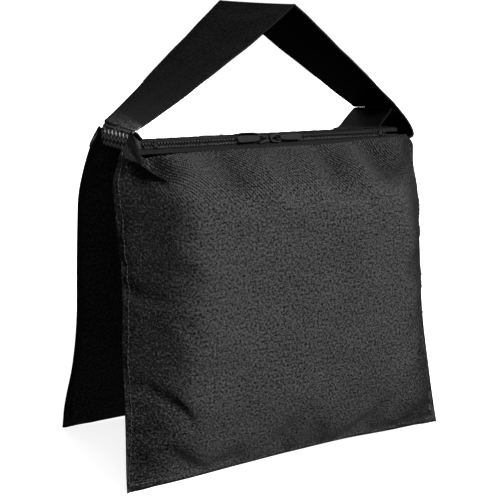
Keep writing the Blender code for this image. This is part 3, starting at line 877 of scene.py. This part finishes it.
def make_pouch(prefix, side, seed, material):
    """One cushion from an outer and an inner panel, settled by the cloth simulation."""
    shares, guides = outer_guides(prefix)
    outer, at = panel_grid(shares, guides, COLUMN_SHARES)
    outer = shape_outer(prefix, outer, at, seed)
    shares, guides = inner_guides(prefix)
    inner, at_inner = panel_grid(shares, guides, ((-1.0, 1.0, outer.shape[1] - 1),))
    inner = shape_inner(inner, at_inner, seed + 7)
    # The two panels share the points of the side and bottom seams
    rows, cols = outer.shape[:2]
    inner[:, 0], inner[:, -1] = outer[:, 0], outer[:, -1]
    inner[0] = outer[0]
    keep = np.ones((rows, cols), bool)
    keep[:, 0] = keep[:, -1] = keep[0] = False
    number = np.full((rows, cols), -1)
    number[keep] = rows * cols + np.arange(keep.sum())
    number[:, 0] = np.arange(rows) * cols
    number[:, -1] = np.arange(rows) * cols + cols - 1
    number[0] = np.arange(cols)
    points = np.concatenate([outer.reshape(-1, 3), inner[keep]])
    faces = grid_faces(rows, cols)
    for r in range(rows - 1):
        for c in range(cols - 1):
            faces.append((int(number[r, c]), int(number[r + 1, c]),
                          int(number[r + 1, c + 1]), int(number[r, c + 1])))
    rim = np.zeros((rows, cols))
    rim[:, 0] = rim[:, -1] = rim[0] = rim[-1] = 1
    rim[-3:, :] = np.maximum(rim[-3:, :], 0.9)
    pinned = np.concatenate([rim.ravel(), rim[keep]])
    uvs = np.concatenate([cloth_lengths(outer).reshape(-1, 2),
                          cloth_lengths(inner)[keep] + (0.5, 0)])
    world = points * (1, side, 1)
    world = run_cloth(prefix + "_trial", world, faces, pinned)
    make_edge_stitches(prefix, side, world[:rows * cols].reshape(rows, cols, 3))
    obj = new_object(prefix + "_pouch_cloth", world, faces, material, uvs)
    fix_normals(obj)
    # Painted shade, stored as the fold attribute: darker in the deeper dents of the top slope and
    # in the sunken corner left of the zip, on the outer panel only
    x, out, z = points.T
    height = np.interp(z, (0.205, 0.220, 0.238, 0.246), (0.0, 1.0, 1.0, 0.6))
    dent_shade = np.interp(x - DENT_SHIFT[prefix], [d[0] for d in TOP_DENTS],
                       [max(0.0, -170 * d[1]) for d in TOP_DENTS])
    pocket = bump(x, -0.0990, 0.0070) * bump(z, 0.2320, 0.0105) * (out < 0.066) * (out > 0.036)
    on_outer = np.arange(len(points)) < rows * cols
    shade(obj, np.minimum(2.2, height * dent_shade * np.interp(x, (-0.09, -0.05), (0, 1)) * (x < 0.1)
                          + 2.2 * pocket) * on_outer)
    crease(obj, set(number[:, 0]) | set(number[:, -1]) | set(number[0]), 0.92)
    fold = (at > 9.0) & (at < 11.8)
    crease(obj, np.nonzero(fold)[0] * cols + RIDGE_COLUMN, 0.65)
    subdivide(obj)
    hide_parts(prefix + "_outer_panel", prefix + "_inner_upper_panel",
                prefix + "_inner_lower_panel", prefix + "_seam_binding")
    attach(obj, prefix + "_pouch")


make_pouch("front", -1, 11, CLOTH)
make_pouch("back", 1, 47, CLOTH_BACK_SHADED)


# ---------------------------------------------------------------- webbing strap

# Half width and thickness of the webbing, then its corners at the feet and crest, as (x, y, z)
HALF_WEB = 0.0250
WEB_THICK = 0.0018
LEFT_NEAR, LEFT_FAR = (-0.1098, -0.0252, 0.2535), (-0.1156, 0.0250, 0.2566)
RIGHT_NEAR, RIGHT_FAR = (0.1176, -0.0252, 0.2658), (0.1112, 0.0245, 0.2618)
CREST_NEAR, CREST_FAR = (0.0238, -0.0234, 0.3434), (-0.0180, 0.0225, 0.3466)
# Height of the webbing under the bridge, and its (x, z) round the bridge's ends
UNDER_Z = 0.2396
LEFT_ROLL = ((-0.1139, 0.2541), (-0.1154, 0.2520), (-0.1162, 0.2492), (-0.1165, 0.2460),
             (-0.1162, 0.2426), (-0.1150, 0.2396), (-0.1126, 0.2380), (-0.1090, 0.2382),
             (-0.1040, 0.2392), (-0.0980, 0.2396))
LEFT_SKEW = 0.0045
RIGHT_ROLL = ((0.1216, 0.2618), (0.1268, 0.2564), (0.1316, 0.2508), (0.1352, 0.2458),
              (0.1372, 0.2422), (0.1372, 0.2395), (0.1338, 0.2380), (0.1270, 0.2384),
              (0.1190, 0.2391), (0.1110, 0.2396), (0.1030, 0.2396), (0.0960, 0.2396))


def strap_edges():
    """Near and far edge points of the strap's middle surface, right round the loop."""
    near, far = [], []

    def line(a, b, c, d, shares, sag):
        for t in shares:
            low = np.array((0, 0, sag * (1 - abs(2 * t - 1) ** 2.5)))
            near.append(np.array(a) * (1 - t) + np.array(b) * t - low)
            low = np.array((0, 0, 0.0012 * bump(t, 0.18, 0.16) - 0.0007 * bump(t, 0.8, 0.25)))
            far.append(np.array(c) * (1 - t) + np.array(d) * t - low * np.sign(b[2] - a[2]))

    for x in np.linspace(0.0, -0.088, 10):
        near.append(np.array((x, -HALF_WEB, UNDER_Z)))
        far.append(np.array((x, HALF_WEB, UNDER_Z)))
    for k, (x, z) in enumerate(reversed(LEFT_ROLL)):
        skew = LEFT_SKEW * min(1.0, k / (len(LEFT_ROLL) - 1))
        near.append(np.array((x + skew, -HALF_WEB, z)))
        far.append(np.array((x - 0.0004, HALF_WEB, z + 0.0010)))
    line(LEFT_NEAR, CREST_NEAR, LEFT_FAR, CREST_FAR,
         (0.018, 0.05, 0.09, 0.16, 0.28, 0.42, 0.56, 0.70, 0.83, 0.92, 0.965, 0.988, 1.0), 0.0030)
    line(CREST_NEAR, RIGHT_NEAR, CREST_FAR, RIGHT_FAR,
         (0.012, 0.035, 0.08, 0.17, 0.30, 0.44, 0.58, 0.72, 0.84, 0.92, 0.97, 1.0), -0.0006)
    for x, z in RIGHT_ROLL:
        near.append(np.array((x, -HALF_WEB, z)))
        far.append(np.array((x, HALF_WEB, z)))
    for x in np.linspace(0.088, 0.008, 9):
        near.append(np.array((x, -HALF_WEB, UNDER_Z)))
        far.append(np.array((x, HALF_WEB, UNDER_Z)))
    return np.array(near), np.array(far)


def refine_loop(points, steps):
    """Resamples a closed loop of points with a smooth curve."""
    count = len(points)
    made = []
    for i in range(count):
        a, b, c, d = (points[(i + k) % count] for k in (-1, 0, 1, 2))
        for s in range(steps):
            t = s / steps
            made.append(0.5 * ((2 * b) + (c - a) * t + (2 * a - 5 * b + 4 * c - d) * t**2
                               + (3 * b - a - 3 * c + d) * t**3))
    return np.array(made)


# Section of the webbing: share across and height, with rounded and thicker selvages
WEB_TOP = ((-1.0, 0.0), (-0.997, 0.55), (-0.985, 0.95), (-0.96, 1.06), (-0.935, 0.98),
           (-0.90, 0.86), (-0.70, 0.84), (-0.45, 0.85), (-0.2, 0.85), (0.0, 0.85),
           (0.2, 0.85), (0.45, 0.85), (0.70, 0.84), (0.90, 0.86), (0.935, 0.98),
           (0.96, 1.06), (0.985, 0.95), (0.997, 0.55))


def web_frame(near, far, closed):
    """Middle, across, normal, half width and running length of webbing, from its edges."""
    middle, across = (near + far) / 2, far - near
    half = np.linalg.norm(across, axis=1) / 2
    across = across / (2 * half[:, None])
    if closed:
        along = np.roll(middle, -1, axis=0) - np.roll(middle, 1, axis=0)
    else:
        along = np.gradient(middle, axis=0)
    normal = np.cross(along, across)
    normal /= np.linalg.norm(normal, axis=1, keepdims=True)
    run = run_along(middle)
    return middle, across, normal, half, run


def make_web(name, near, far, closed, lift=None):
    """Webbing between two edge lines. lift moves the points of each ring along its normal."""
    middle, across, normal, half, run = web_frame(near, far, closed)
    section = WEB_TOP + ((1.0, 0.0),) + tuple((s, -h) for s, h in reversed(WEB_TOP[1:]))
    rings, uvs = [], []
    for k in range(len(middle)):
        wave = 0.00030 * np.sin(run[k] * 95 + 1.3) + 0.00022 * np.sin(run[k] * 211)
        ring = []
        for s, h in section:
            offset = h * WEB_THICK / 2 + 0.0004 * (s * s - 0.35)
            offset += 0 if lift is None else lift(middle[k], s)
            point = middle[k] + across[k] * (s * half[k] + (wave if abs(s) > 0.9 else 0))
            ring.append(point + normal[k] * offset)
            uvs.append((s * HALF_WEB, run[k]))
        rings.append(ring)
    flat = np.array(rings).reshape(-1, 3)
    faces = tube_faces(len(rings), len(section), closed)
    obj = new_object(name, flat, faces, WEBBING if closed else WEBBING_TAIL_SHADED, uvs)
    fix_normals(obj)
    # Painted highlight: the fold attribute marks the loop where it bends over its sewn left end
    shade(obj, closed * bump(flat[:, 2], 0.2505, 0.0085) * (flat[:, 0] < -0.104) * 0.8)
    subdivide(obj)
    return obj, float(run[-1])


def bend_wrinkles(at, share):
    """Ripples across the webbing where it bends over its sewn left end."""
    near_bend = bump(at[2], 0.2530, 0.0060) * (at[0] < -0.09)
    return 0.00055 * near_bend * np.sin(at[2] * 2600 + 3.0 * share + 2.0 * np.sin(5 * share))


STRAP_NEAR, STRAP_FAR = (refine_loop(edge, 3) for edge in strap_edges())


def make_strap():
    """The loop of webbing: the handle, its sewn ends and the length under the bridge."""
    obj, length = make_web("strap_loop", STRAP_NEAR, STRAP_FAR, True, bend_wrinkles)
    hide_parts("handle_webbing", "handle_root_left", "handle_root_right",
                "strap_end_left", "strap_end_right", "under_strap")
    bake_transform(obj)


# The strap's sewn-down ends, inside the handle's feet: the y of their near and far edges, then
# their (x, z)
TAIL_NEAR, TAIL_FAR = -0.0238, 0.0245
TAILS = {
    "left": (((-0.1085, 0.2528), (-0.1060, 0.2500), (-0.1030, 0.2462), (-0.1000, 0.2441),
              (-0.0960, 0.2434), (-0.0920, 0.2433)),
             ((-0.1135, 0.2545), (-0.1100, 0.2505), (-0.1060, 0.2465), (-0.1020, 0.2443),
              (-0.0980, 0.2434), (-0.0930, 0.2433))),
    "right": (((0.1168, 0.2636), (0.1128, 0.2580), (0.1070, 0.2525), (0.1030, 0.2475),
               (0.0990, 0.2445), (0.0950, 0.2436)),
              ((0.1120, 0.2610), (0.1070, 0.2560), (0.1010, 0.2503), (0.0965, 0.2458),
               (0.0930, 0.2438), (0.0885, 0.2434))),
}


def make_tails():
    for name, (near, far) in TAILS.items():
        steps = np.linspace(0, 5, 16)
        near, far = curve(range(6), near, steps), curve(range(6), far, steps)
        near = np.column_stack([near[:, 0], np.full(16, TAIL_NEAR), near[:, 1]])
        far = np.column_stack([far[:, 0], np.full(16, TAIL_FAR), far[:, 1]])
        obj, length = make_web("strap_tail_" + name, near, far, False)
        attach(obj, "bridge")


make_strap()
make_tails()


def zigzag(builder, start, end, up, away, width, pitch, radius):
    """A zigzag row of thread from start to end, lying on a surface that faces away."""
    length = np.linalg.norm(end - start)
    count = int(round(length / pitch)) * 2
    rng = np.random.default_rng(int(abs(start[0]) * 1e5) + count)
    path = []
    for i in range(count + 1):
        shift = width / 2 * (1 if i % 2 else -1) * rng.uniform(0.85, 1.1)
        path.append(start + i / count * (end - start) + up * shift - away * 0.00030)
        if i < count:
            path.append(start + (i + 0.5) / count * (end - start) + away * 0.00038)
    builder.tube(path, radius, sides=6, up=away)


TACK_HALF = 0.0222
TACK_HEIGHTS = {"left": (("upper", (0.2500, 0.2462)), ("lower", (0.2424,))),
                "right": (("upper", (0.2560, 0.2520)), ("lower", (0.2480,)))}


def make_tacks():
    """Three zigzag rows across each end of the strap."""
    middle, across, normal = web_frame(STRAP_NEAR, STRAP_FAR, True)[:3]
    for name, rows in TACK_HEIGHTS.items():
        side = -1 if name == "left" else 1
        outside = np.nonzero((middle[:, 0] * side > 0.1105) & (middle[:, 2] > 0.2395))[0]
        for label, heights in rows:
            builder = Builder()
            for z in heights:
                k = outside[np.argmin(np.abs(middle[outside, 2] - z))]
                away = normal[k] * np.sign(normal[k, 0] * side)
                up = np.cross(across[k], away)
                centre = middle[k] + away * (0.85 * WEB_THICK / 2 + 0.00012)
                reach = across[k] * TACK_HALF
                zigzag(builder, centre - reach, centre + reach, up, away, 0.0036, 0.0062, 0.00052)
            obj = builder.make(f"tack_{name}_{label}", THREAD)
            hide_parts(f"bartack_{name}_{label}")
            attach(obj, "bridge")


make_tacks()


# ---------------------------------------------------------------- bridge cloth

def closed_sheet(name, top, thickness, material, uvs):
    """A closed thin sheet from a grid of points on its upper side."""
    rows, cols = top.shape[:2]
    normal = grid_normals(top)
    normal *= np.where(normal[..., 2:3] < 0, -1, 1)
    under = top - normal * thickness
    points = np.concatenate([top.reshape(-1, 3), under.reshape(-1, 3)])
    size = rows * cols
    faces = grid_faces(rows, cols)
    faces += [tuple(size + i for i in reversed(f)) for f in grid_faces(rows, cols)]
    rim = ([(0, c) for c in range(cols)] + [(r, cols - 1) for r in range(1, rows)]
           + [(rows - 1, c) for c in range(cols - 2, -1, -1)]
           + [(r, 0) for r in range(rows - 2, 0, -1)])
    index = [r * cols + c for r, c in rim]
    for i, a in enumerate(index):
        b = index[(i + 1) % len(index)]
        faces.append((a, size + a, size + b, b))
    uvs = np.concatenate([uvs.reshape(-1, 2), uvs.reshape(-1, 2)])
    obj = new_object(name, points, faces, material, uvs)
    fix_normals(obj)
    return obj


def make_bridge():
    """The cloth between the zips, which rests on the strap."""
    xs = np.linspace(-0.1120, 0.1120, 61)
    ys = np.linspace(-0.0262, 0.0262, 15)
    x, y = np.meshgrid(xs, ys)
    z = BRIDGE_TOP - 0.0003 + 0.0003 * waves(np.stack([x, y, 0 * x], -1), 0.05, 5)
    z -= 0.0003 * np.clip((y + 0.026) / 0.052, 0, 1)
    top = np.stack([x, y, z], -1)
    obj = closed_sheet("bridge_cloth", top, 0.0008, BRIDGE_CLOTH, np.stack([x, y], -1))
    subdivide(obj)
    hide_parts("bridge_panel")
    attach(obj, "bridge")


# x of the right ends of the hems and tapes
ZIP_RIGHT = 0.1165
# (out, z) from the bridge to each zip: up a wall in front, and level behind
HEM_PROFILE = {-1: ((0.0240, 0.2430), (0.0256, 0.2433), (0.0266, 0.2442), (0.0271, 0.2456),
                    (0.0276, 0.2470), (0.0283, 0.2480), (0.0294, 0.2484), (0.0302, 0.2480),
                    (0.0305, 0.2474)),
               1: ((0.0216, 0.2428), (0.0240, 0.2428), (0.0258, 0.2427), (0.0272, 0.2426),
                   (0.0286, 0.2423), (0.0298, 0.2418), (0.0304, 0.2413))}


def strip_uv(top, lengths):
    """UV of a long strip: x along it, and the lengths across it."""
    return np.stack([top[..., 0], np.repeat(lengths[:, None], top.shape[1], 1)], -1)


def make_hems():
    """The folded edge of the bridge cloth beside each zip."""
    for prefix, side in SIDES.items():
        xs = np.linspace(-0.1115, ZIP_RIGHT, 115)
        profile = HEM_PROFILE[side]
        rows = []
        for k, (out, z) in enumerate(profile):
            share = k / (len(profile) - 1)
            ripple = 0.00016 * np.sin(xs * 620 + side) + 0.00010 * np.sin(xs * 1130)
            lifted = 0.0016 * bump(xs, -0.0225, 0.0115) * (side < 0)
            low = 0.0010 * np.clip((-0.008 - xs) / 0.060, 0, 1)
            rise = (0.0008 * xs / 0.11 * (xs > 0) - low + lifted) * (side < 0) * min(1.0, share * 2)
            drop = 0.0016 * np.clip((np.abs(xs) - 0.099) / 0.0125, 0, 1) ** 2 * share
            back = 1.4 * low * (side < 0) * share
            rows.append(np.stack([xs, side * (out - back), z + ripple + rise - drop], -1))
        top = np.array(rows)
        uv = strip_uv(top, np.linspace(0, 0.010, len(profile)))
        obj = closed_sheet(prefix + "_bridge_hem", top, 0.0007, BRIDGE_CLOTH, uv)
        subdivide(obj)
        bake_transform(obj)


make_bridge()
make_hems()


# ---------------------------------------------------------------- zips

# Middle of each slider, and the way its pull tab points along x
SLIDERS = {"left": (-0.0105, -1), "right": (0.0005, 1)}


def chain(side, x, along, facing):
    """World points from x, the distance down the chain's face and the distance out from it."""
    x, along, facing = np.broadcast_arrays(*(np.asarray(v, float) for v in (x, along, facing)))
    out = CHAIN_OUT + along * DOWN[0] + facing * FACING[0]
    z = CHAIN_Z[side] + along * DOWN[1] + facing * FACING[1]
    return np.stack([x, side * out, z], -1)


# (out, z) of each zip's inner tape where it runs under the hem
UNDER_HEM = {-1: ((0.0279, 0.2440), (0.0281, 0.2458), (0.0284, 0.2470), (0.0292, 0.2476),
                  (0.0302, 0.2473)),
             1: ((0.0290, 0.2413), (0.0296, 0.2413), (0.0302, 0.2410))}


def make_coils(prefix, side):
    """Each half of the zip's chain: a flattened coil sewn over a cord."""
    pitch = 0.0024
    for name, sign in (("inner", -1), ("outer", 1)):
        turns = int(0.2120 / pitch)
        t = np.arange(turns * 14 + 1) / 14
        x = -0.1078 + pitch * (t + (0.5 if name == "outer" else 0.0))
        angle = 2 * np.pi * t
        wide = np.sign(np.cos(angle)) * np.abs(np.cos(angle)) ** 0.8
        along = sign * (0.00148 + 0.00128 * wide)
        facing = 0.00052 * np.sin(angle)
        path = chain(side, x, along, facing)
        builder = Builder()
        radius = 0.00044 * (1 + 0.25 * np.clip(-wide, 0, 1))
        builder.tube(path, radius, sides=6, up=(0, side * FACING[0], FACING[1]))
        cord = np.linspace(-0.1080, 0.1045, 107)
        builder.tube(chain(side, cord, sign * 0.0019, 0.0), 0.00034, sides=5,
                     up=(0, side * FACING[0], FACING[1]))
        obj = builder.make(f"{prefix}_coil_{name}", NYLON)
        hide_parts(f"{prefix}_zip_coil_{name}")
        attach(obj, prefix + "_pouch")


def make_tapes(prefix, side):
    """Both tapes of a zip, as one piece."""
    xs = np.linspace(-0.1120, ZIP_RIGHT, 92)
    centre = np.array((CHAIN_OUT, CHAIN_Z[side]))
    top_edge, low_edge = centre - 0.0030 * DOWN, centre + 0.0030 * DOWN
    panel = np.array(MIDDLE[prefix][-1]) + (-0.0010, 0.0001)
    sections = ((*UNDER_HEM[side], top_edge - 0.0003 * FACING,
                 centre - 0.0008 * DOWN - 0.0010 * FACING),
                (centre + 0.0008 * DOWN - 0.0010 * FACING, low_edge - 0.0004 * FACING,
                 0.7 * low_edge + 0.3 * panel, 0.3 * low_edge + 0.7 * panel, panel))
    pieces, width = [], 0.0
    for section in sections:
        section = np.array(section)
        top = np.array([np.stack([xs, side * (out + 0 * xs), z + 0.00010 * np.sin(xs * 480)], -1)
                        for out, z in section])
        run = run_along(section)
        pieces.append(closed_sheet(f"{prefix}_tapes", top, 0.0005, TAPE,
                                   strip_uv(top, width + run)))
        width += float(run[-1])
    obj = join(pieces)
    subdivide(obj)
    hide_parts(prefix + "_zip_tape_inner", prefix + "_zip_tape_outer")
    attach(obj, prefix + "_pouch")


def rounded_plate(builder, outline, low, high, place):
    """A flat plate with the given outline between two heights."""
    outline = np.array(outline)
    count = len(outline)
    points = np.concatenate([
        place(outline[:, 0], outline[:, 1], np.full(count, low)),
        place(outline[:, 0], outline[:, 1], np.full(count, high))])
    faces = [tuple(range(count)), tuple(range(count, 2 * count))]
    faces += [(i, (i + 1) % count, count + (i + 1) % count, count + i) for i in range(count)]
    builder.add(points, faces)


def slider_outline(half, wide, narrow):
    """Outline of a slider's body: broad shoulders in front, and a waist behind."""
    made = []
    for a in np.linspace(-0.5 * np.pi, 0.5 * np.pi, 9):
        made.append((half - 0.0016 + 0.0016 * np.cos(a), wide * np.sin(a)))
    for x, w in ((0.0012, wide), (-0.0012, 0.86 * wide), (-0.0030, narrow)):
        made.append((x, w))
    for a in np.linspace(0.5 * np.pi, 1.5 * np.pi, 7):
        made.append((-half + 0.0010 + 0.0010 * np.cos(a), narrow * np.sin(a)))
    for x, w in ((-0.0030, -narrow), (-0.0012, -0.86 * wide), (0.0012, -wide)):
        made.append((x, w))
    clean = [made[0]]
    for p in made[1:]:
        if np.hypot(p[0] - clean[-1][0], p[1] - clean[-1][1]) > 1e-4:
            clean.append(p)
    return clean


def mirrored(profile):
    """A closed outline from one half of it."""
    return [*profile, *((x, -w) for x, w in reversed(profile))]


def make_sliders(prefix, side):
    """Each slider's body and bail, and its pull tab: a ring, and a tab with a raised rim."""
    for name, (at, direction) in SLIDERS.items():
        def place(x, along, facing, at=at, direction=direction):
            return chain(side, at + direction * np.asarray(x), along, facing)

        outline = slider_outline(0.0045, 0.0036, 0.0027)
        builder = Builder()
        rounded_plate(builder, outline, 0.00120, 0.00200, place)
        rounded_plate(builder, outline, -0.00200, -0.00120, place)
        neck = [(-0.0029, -0.0004), (0.0029, -0.0004), (0.0034, 0), (0.0029, 0.0004),
                (-0.0029, 0.0004)]
        rounded_plate(builder, neck, -0.0014, 0.0014, place)
        for edge in (-1, 1):
            lip = [(x, edge * w) for x, w in ((-0.0042, 0.0024), (-0.0010, 0.0030),
                                              (0.0014, 0.0034), (0.0014, 0.0037),
                                              (-0.0012, 0.0034), (-0.0043, 0.0027))]
            rounded_plate(builder, lip, 0.00055, 0.00125, place)
        body = builder.make(f"{prefix}_slider_{name}_body", METAL)
        bevelled(body, 0.00022)
        a = np.linspace(0, np.pi, 13)
        loop = place(-0.00235 * np.cos(a), 0 * a, 0.0017 + 0.0028 * np.sin(a) ** 0.75)
        loop_builder = Builder()
        loop_builder.tube(loop, 0.00046, sides=8, up=(0, side * DOWN[0], DOWN[1]))
        bail = loop_builder.make(f"{prefix}_slider_{name}_bail", METAL)
        for piece in (body, bail):
            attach(piece, f"{prefix}_slider_{name}")
        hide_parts(f"{prefix}_zip_slider_{name}")
        tab = Builder()
        ring_a = np.linspace(0, 2 * np.pi, 21)[:-1]
        ring = place(0.0018 + 0.0022 * np.cos(ring_a), 0.0019 * np.sin(ring_a),
                     np.full(20, 0.0031))
        tab.tube(ring, 0.00042, sides=7, up=(0, side * FACING[0], FACING[1]), closed=True)
        profile = [(0.0037, 0.0012), (0.0046, 0.0017), (0.0070, 0.0021), (0.0150, 0.0025),
                   (0.0195, 0.0025), (0.0212, 0.0020), (0.0219, 0.0010)]
        rounded_plate(tab, mirrored(profile), 0.00272, 0.00348, place)
        inner = [(0.0068, 0.0008), (0.0140, 0.0012), (0.0165, 0.0012), (0.0178, 0.0006)]
        for low, high in ((0.00345, 0.00364), (0.00256, 0.00275)):
            rounded_plate(tab, mirrored(inner), low, high, place)
        tab = tab.make(f"{prefix}_pull_{name}_tab", METAL)
        bevelled(tab, 0.00015)
        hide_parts(f"{prefix}_zip_pull_{name}")
        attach(tab, f"{prefix}_pull_{name}")


def make_stops(prefix, side):
    """The end stops: a clamp round the chain with a waist."""
    for name, sign in (("left", -1), ("right", 1)):
        builder = Builder()
        section = mirrored([(-0.0029, 0.0008), (-0.0022, 0.00135), (0.0022, 0.00135),
                            (0.0029, 0.0008)])
        rings = []
        for x, grow in ((0.0964, 0.90), (0.0968, 1.0), (0.0974, 1.0), (0.0978, 0.93),
                        (0.0982, 1.0), (0.0988, 1.0), (0.0992, 0.90)):
            along, facing = np.array(section).T * grow
            rings.append(chain(side, np.full(8, sign * x), along, facing))
        builder.add(np.array(rings), tube_faces(len(rings), 8))
        obj = builder.make(f"{prefix}_stop_{name}", METAL)
        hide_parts(f"{prefix}_zip_stop_{name}")
        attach(obj, prefix + "_pouch")


for zip_prefix, zip_side in SIDES.items():
    make_coils(zip_prefix, zip_side)
    make_tapes(zip_prefix, zip_side)
    make_sliders(zip_prefix, zip_side)
    make_stops(zip_prefix, zip_side)


# ---------------------------------------------------------------- liner bags and sand

def fill_ring(z, inset, count):
    """A rounded section of the pouch's inside at one height, as (x, out)."""
    middles = np.array(LOWER_MIDDLE)
    inner = np.array(INNER_MIDDLE)
    face = float(np.interp(z, middles[:, 1], middles[:, 0]))
    back = float(np.interp(z, inner[:, 1], inner[:, 0])) + 0.0040
    half = 0.80 * float(table(RIGHT_EDGE["back"], z)[0]) - inset
    seam = float(table(SEAM_OUT, z)[0])
    middle, depth = (face + back) / 2, (face - back) / 2 - inset
    a = 2 * np.pi * np.arange(count) / count
    x = half * np.sign(np.cos(a)) * np.abs(np.cos(a)) ** 0.9
    share = (np.abs(x) / half) ** 4
    centre = (1 - share) * middle + share * (middle + seam) / 2
    out = centre + depth * np.sign(np.sin(a)) * np.abs(np.sin(a)) ** 0.9
    return np.stack([x, out], 1)


def raised(ring, z, grow=1.0):
    """A section grown about its middle, as points at one height."""
    centre = ring.mean(0)
    return np.column_stack([centre + (ring - centre) * grow, np.full(len(ring), z)])


def swell(points, amount):
    """Moves each point of level rings out from the middle of its ring."""
    away = points - points.mean(1, keepdims=True)
    away[..., 2] = 0
    away /= np.maximum(np.linalg.norm(away, axis=-1, keepdims=True), 1e-9)
    return points + away * amount[..., None]


def make_fill(prefix, side, seed):
    """The sand, rounded at its bottom and lumpy on top."""
    count, lowest, highest, inset = 64, 0.0335, 0.192, 0.0056
    rings = []
    for z in np.linspace(lowest, highest, 40):
        low = np.clip((z - lowest) / 0.012, 0, 1)
        high = np.clip((highest - z) / 0.010, 0, 1)
        grow = (0.86 + 0.14 * low**0.5) * (0.80 + 0.20 * high**0.5)
        rings.append(raised(fill_ring(z, inset, count), z, grow))
    for grow, z in ((0.55, 0.1935), (0.25, 0.1940)):
        rings.append(raised(fill_ring(highest, inset, count), z, grow * 0.8))
    points = np.array(rings)
    points = swell(points, 0.0009 * waves(points, 0.020, seed) - 0.0007)
    points[-2:, :, 2] += 0.0008 * waves(points[-2:], 0.03, seed + 1)
    points[..., 1] *= side
    faces = grid_faces(len(points), count, wrap=True)
    faces += [tuple(range(count)),
              tuple(range((len(points) - 1) * count, len(points) * count))]
    flat = points.reshape(-1, 3)
    obj = new_object(prefix + "_sand", flat, faces, SAND, flat[:, :2])
    fix_normals(obj)
    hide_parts(prefix + "_sand_fill")
    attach(obj, prefix + "_pouch")


def make_liner(prefix, side, seed):
    """A wrinkled bag round the sand, drawn in at its neck and folded over."""
    count, lowest, highest, inset = 96, 0.0300, 0.1955, 0.0044
    rings = []
    for z in np.linspace(lowest, highest, 52):
        low = np.clip((z - lowest) / 0.012, 0, 1)
        rings.append(raised(fill_ring(z, inset, count), z, 0.88 + 0.12 * low**0.5))
    base = fill_ring(highest, inset, count)
    centre = base.mean(0)
    a = 2 * np.pi * np.arange(count) / count
    pleats = 0.0010 * np.column_stack([np.cos(a), np.sin(a)]) * np.cos(a * 11)[:, None]
    for grow, z in ((0.93, 0.1972), (0.80, 0.1985), (0.62, 0.1995), (0.42, 0.2001),
                    (0.24, 0.2007), (0.13, 0.2023), (0.10, 0.2043), (0.13, 0.2061),
                    (0.19, 0.2073)):
        ring = centre + (base - centre) * (grow, max(grow, 0.25)) + (1 - grow) * pleats
        rings.append(raised(ring, z))
    points = np.array(rings)
    fold = np.abs(np.sin(a * 9 + 2.5 * np.sin(points[..., 2] * 60))) ** 0.6
    wrinkle = 0.0006 * (fold - 0.7) + 0.0004 * waves(points, 0.016, seed)
    points = swell(points, wrinkle * np.clip((points[..., 2] - 0.03) / 0.05, 0.2, 1))
    points[..., 1] *= side
    faces = grid_faces(len(points), count, wrap=True)
    faces.append(tuple(range(count)))
    flat = points.reshape(-1, 3)
    obj = new_object(prefix + "_liner", flat, faces, LINER, flat[:, :2])
    fix_normals(obj)
    solid = obj.modifiers.new("thickness", "SOLIDIFY")
    solid.thickness = 0.0003
    solid.offset = -1.0
    apply_modifiers(obj)
    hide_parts(prefix + "_liner_bag")
    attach(obj, prefix + "_pouch")


for fill_seed, (fill_prefix, fill_side) in zip((3, 8), SIDES.items()):
    make_fill(fill_prefix, fill_side, fill_seed)
    make_liner(fill_prefix, fill_side, fill_seed + 20)


# ---------------------------------------------------------------- stage, light and camera

def make_stage():
    size, steps = 6.0, 24
    line = np.linspace(-size, size, steps + 1)
    x, y = np.meshgrid(line, line)
    points = np.stack([x, y, 0 * x], -1).reshape(-1, 3)
    obj = new_object("floor", points, grid_faces(steps + 1, steps + 1), FLOOR)
    obj.visible_diffuse = obj.visible_glossy = False


def sun(name, azimuth, elevation, strength, softness):
    """A soft distant light. Azimuth 0 shines from the front, and 90 from the right."""
    light = bpy.data.lights.new(name, "SUN")
    light.energy = strength
    light.angle = np.radians(softness)
    obj = bpy.data.objects.new(name, light)
    a, e = np.radians(azimuth), np.radians(elevation)
    source = Vector((np.sin(a) * np.cos(e), -np.cos(a) * np.cos(e), np.sin(e)))
    obj.rotation_euler = source.to_track_quat("Z", "Y").to_euler()
    bpy.context.scene.collection.objects.link(obj)


def make_lights():
    sun("key", 25, 33, 7.6, 16)
    sun("top", 0, 70, 0.55, 60)
    sun("back", 165, 30, 1.0, 60)
    world = bpy.data.worlds.new("studio")
    bpy.context.scene.world = world
    world.use_nodes = True
    tree = world.node_tree
    tree.nodes.clear()
    which = tree.nodes.new("ShaderNodeLightPath")
    mixed = tree.nodes.new("ShaderNodeMixShader")
    out = tree.nodes.new("ShaderNodeOutputWorld")
    tree.links.new(which.outputs["Is Camera Ray"], mixed.inputs[0])
    # What lights the object, then the white that the camera sees
    for place, strength in ((1, 0.10), (2, 1.05)):
        background = tree.nodes.new("ShaderNodeBackground")
        background.inputs["Color"].default_value = (1, 1, 1, 1)
        background.inputs["Strength"].default_value = strength
        tree.links.new(background.outputs[0], mixed.inputs[place])
    tree.links.new(mixed.outputs[0], out.inputs["Surface"])


def make_camera():
    camera = bpy.data.cameras.new("camera")
    camera.sensor_width = 36.0
    camera.lens = 72.0
    camera.clip_start = 0.01
    obj = bpy.data.objects.new("camera", camera)
    obj.location = (-0.3745, -0.6967, 0.3214)
    azimuth, drop = np.radians(-28.05), np.radians(12.14)
    look = Vector((-np.sin(azimuth) * np.cos(drop), np.cos(azimuth) * np.cos(drop),
                   -np.sin(drop)))
    obj.rotation_euler = look.to_track_quat("-Z", "Y").to_euler()
    bpy.context.scene.collection.objects.link(obj)
    bpy.context.scene.camera = obj


make_stage()
make_lights()
make_camera()
bpy.context.scene.view_settings.view_transform = "Standard"
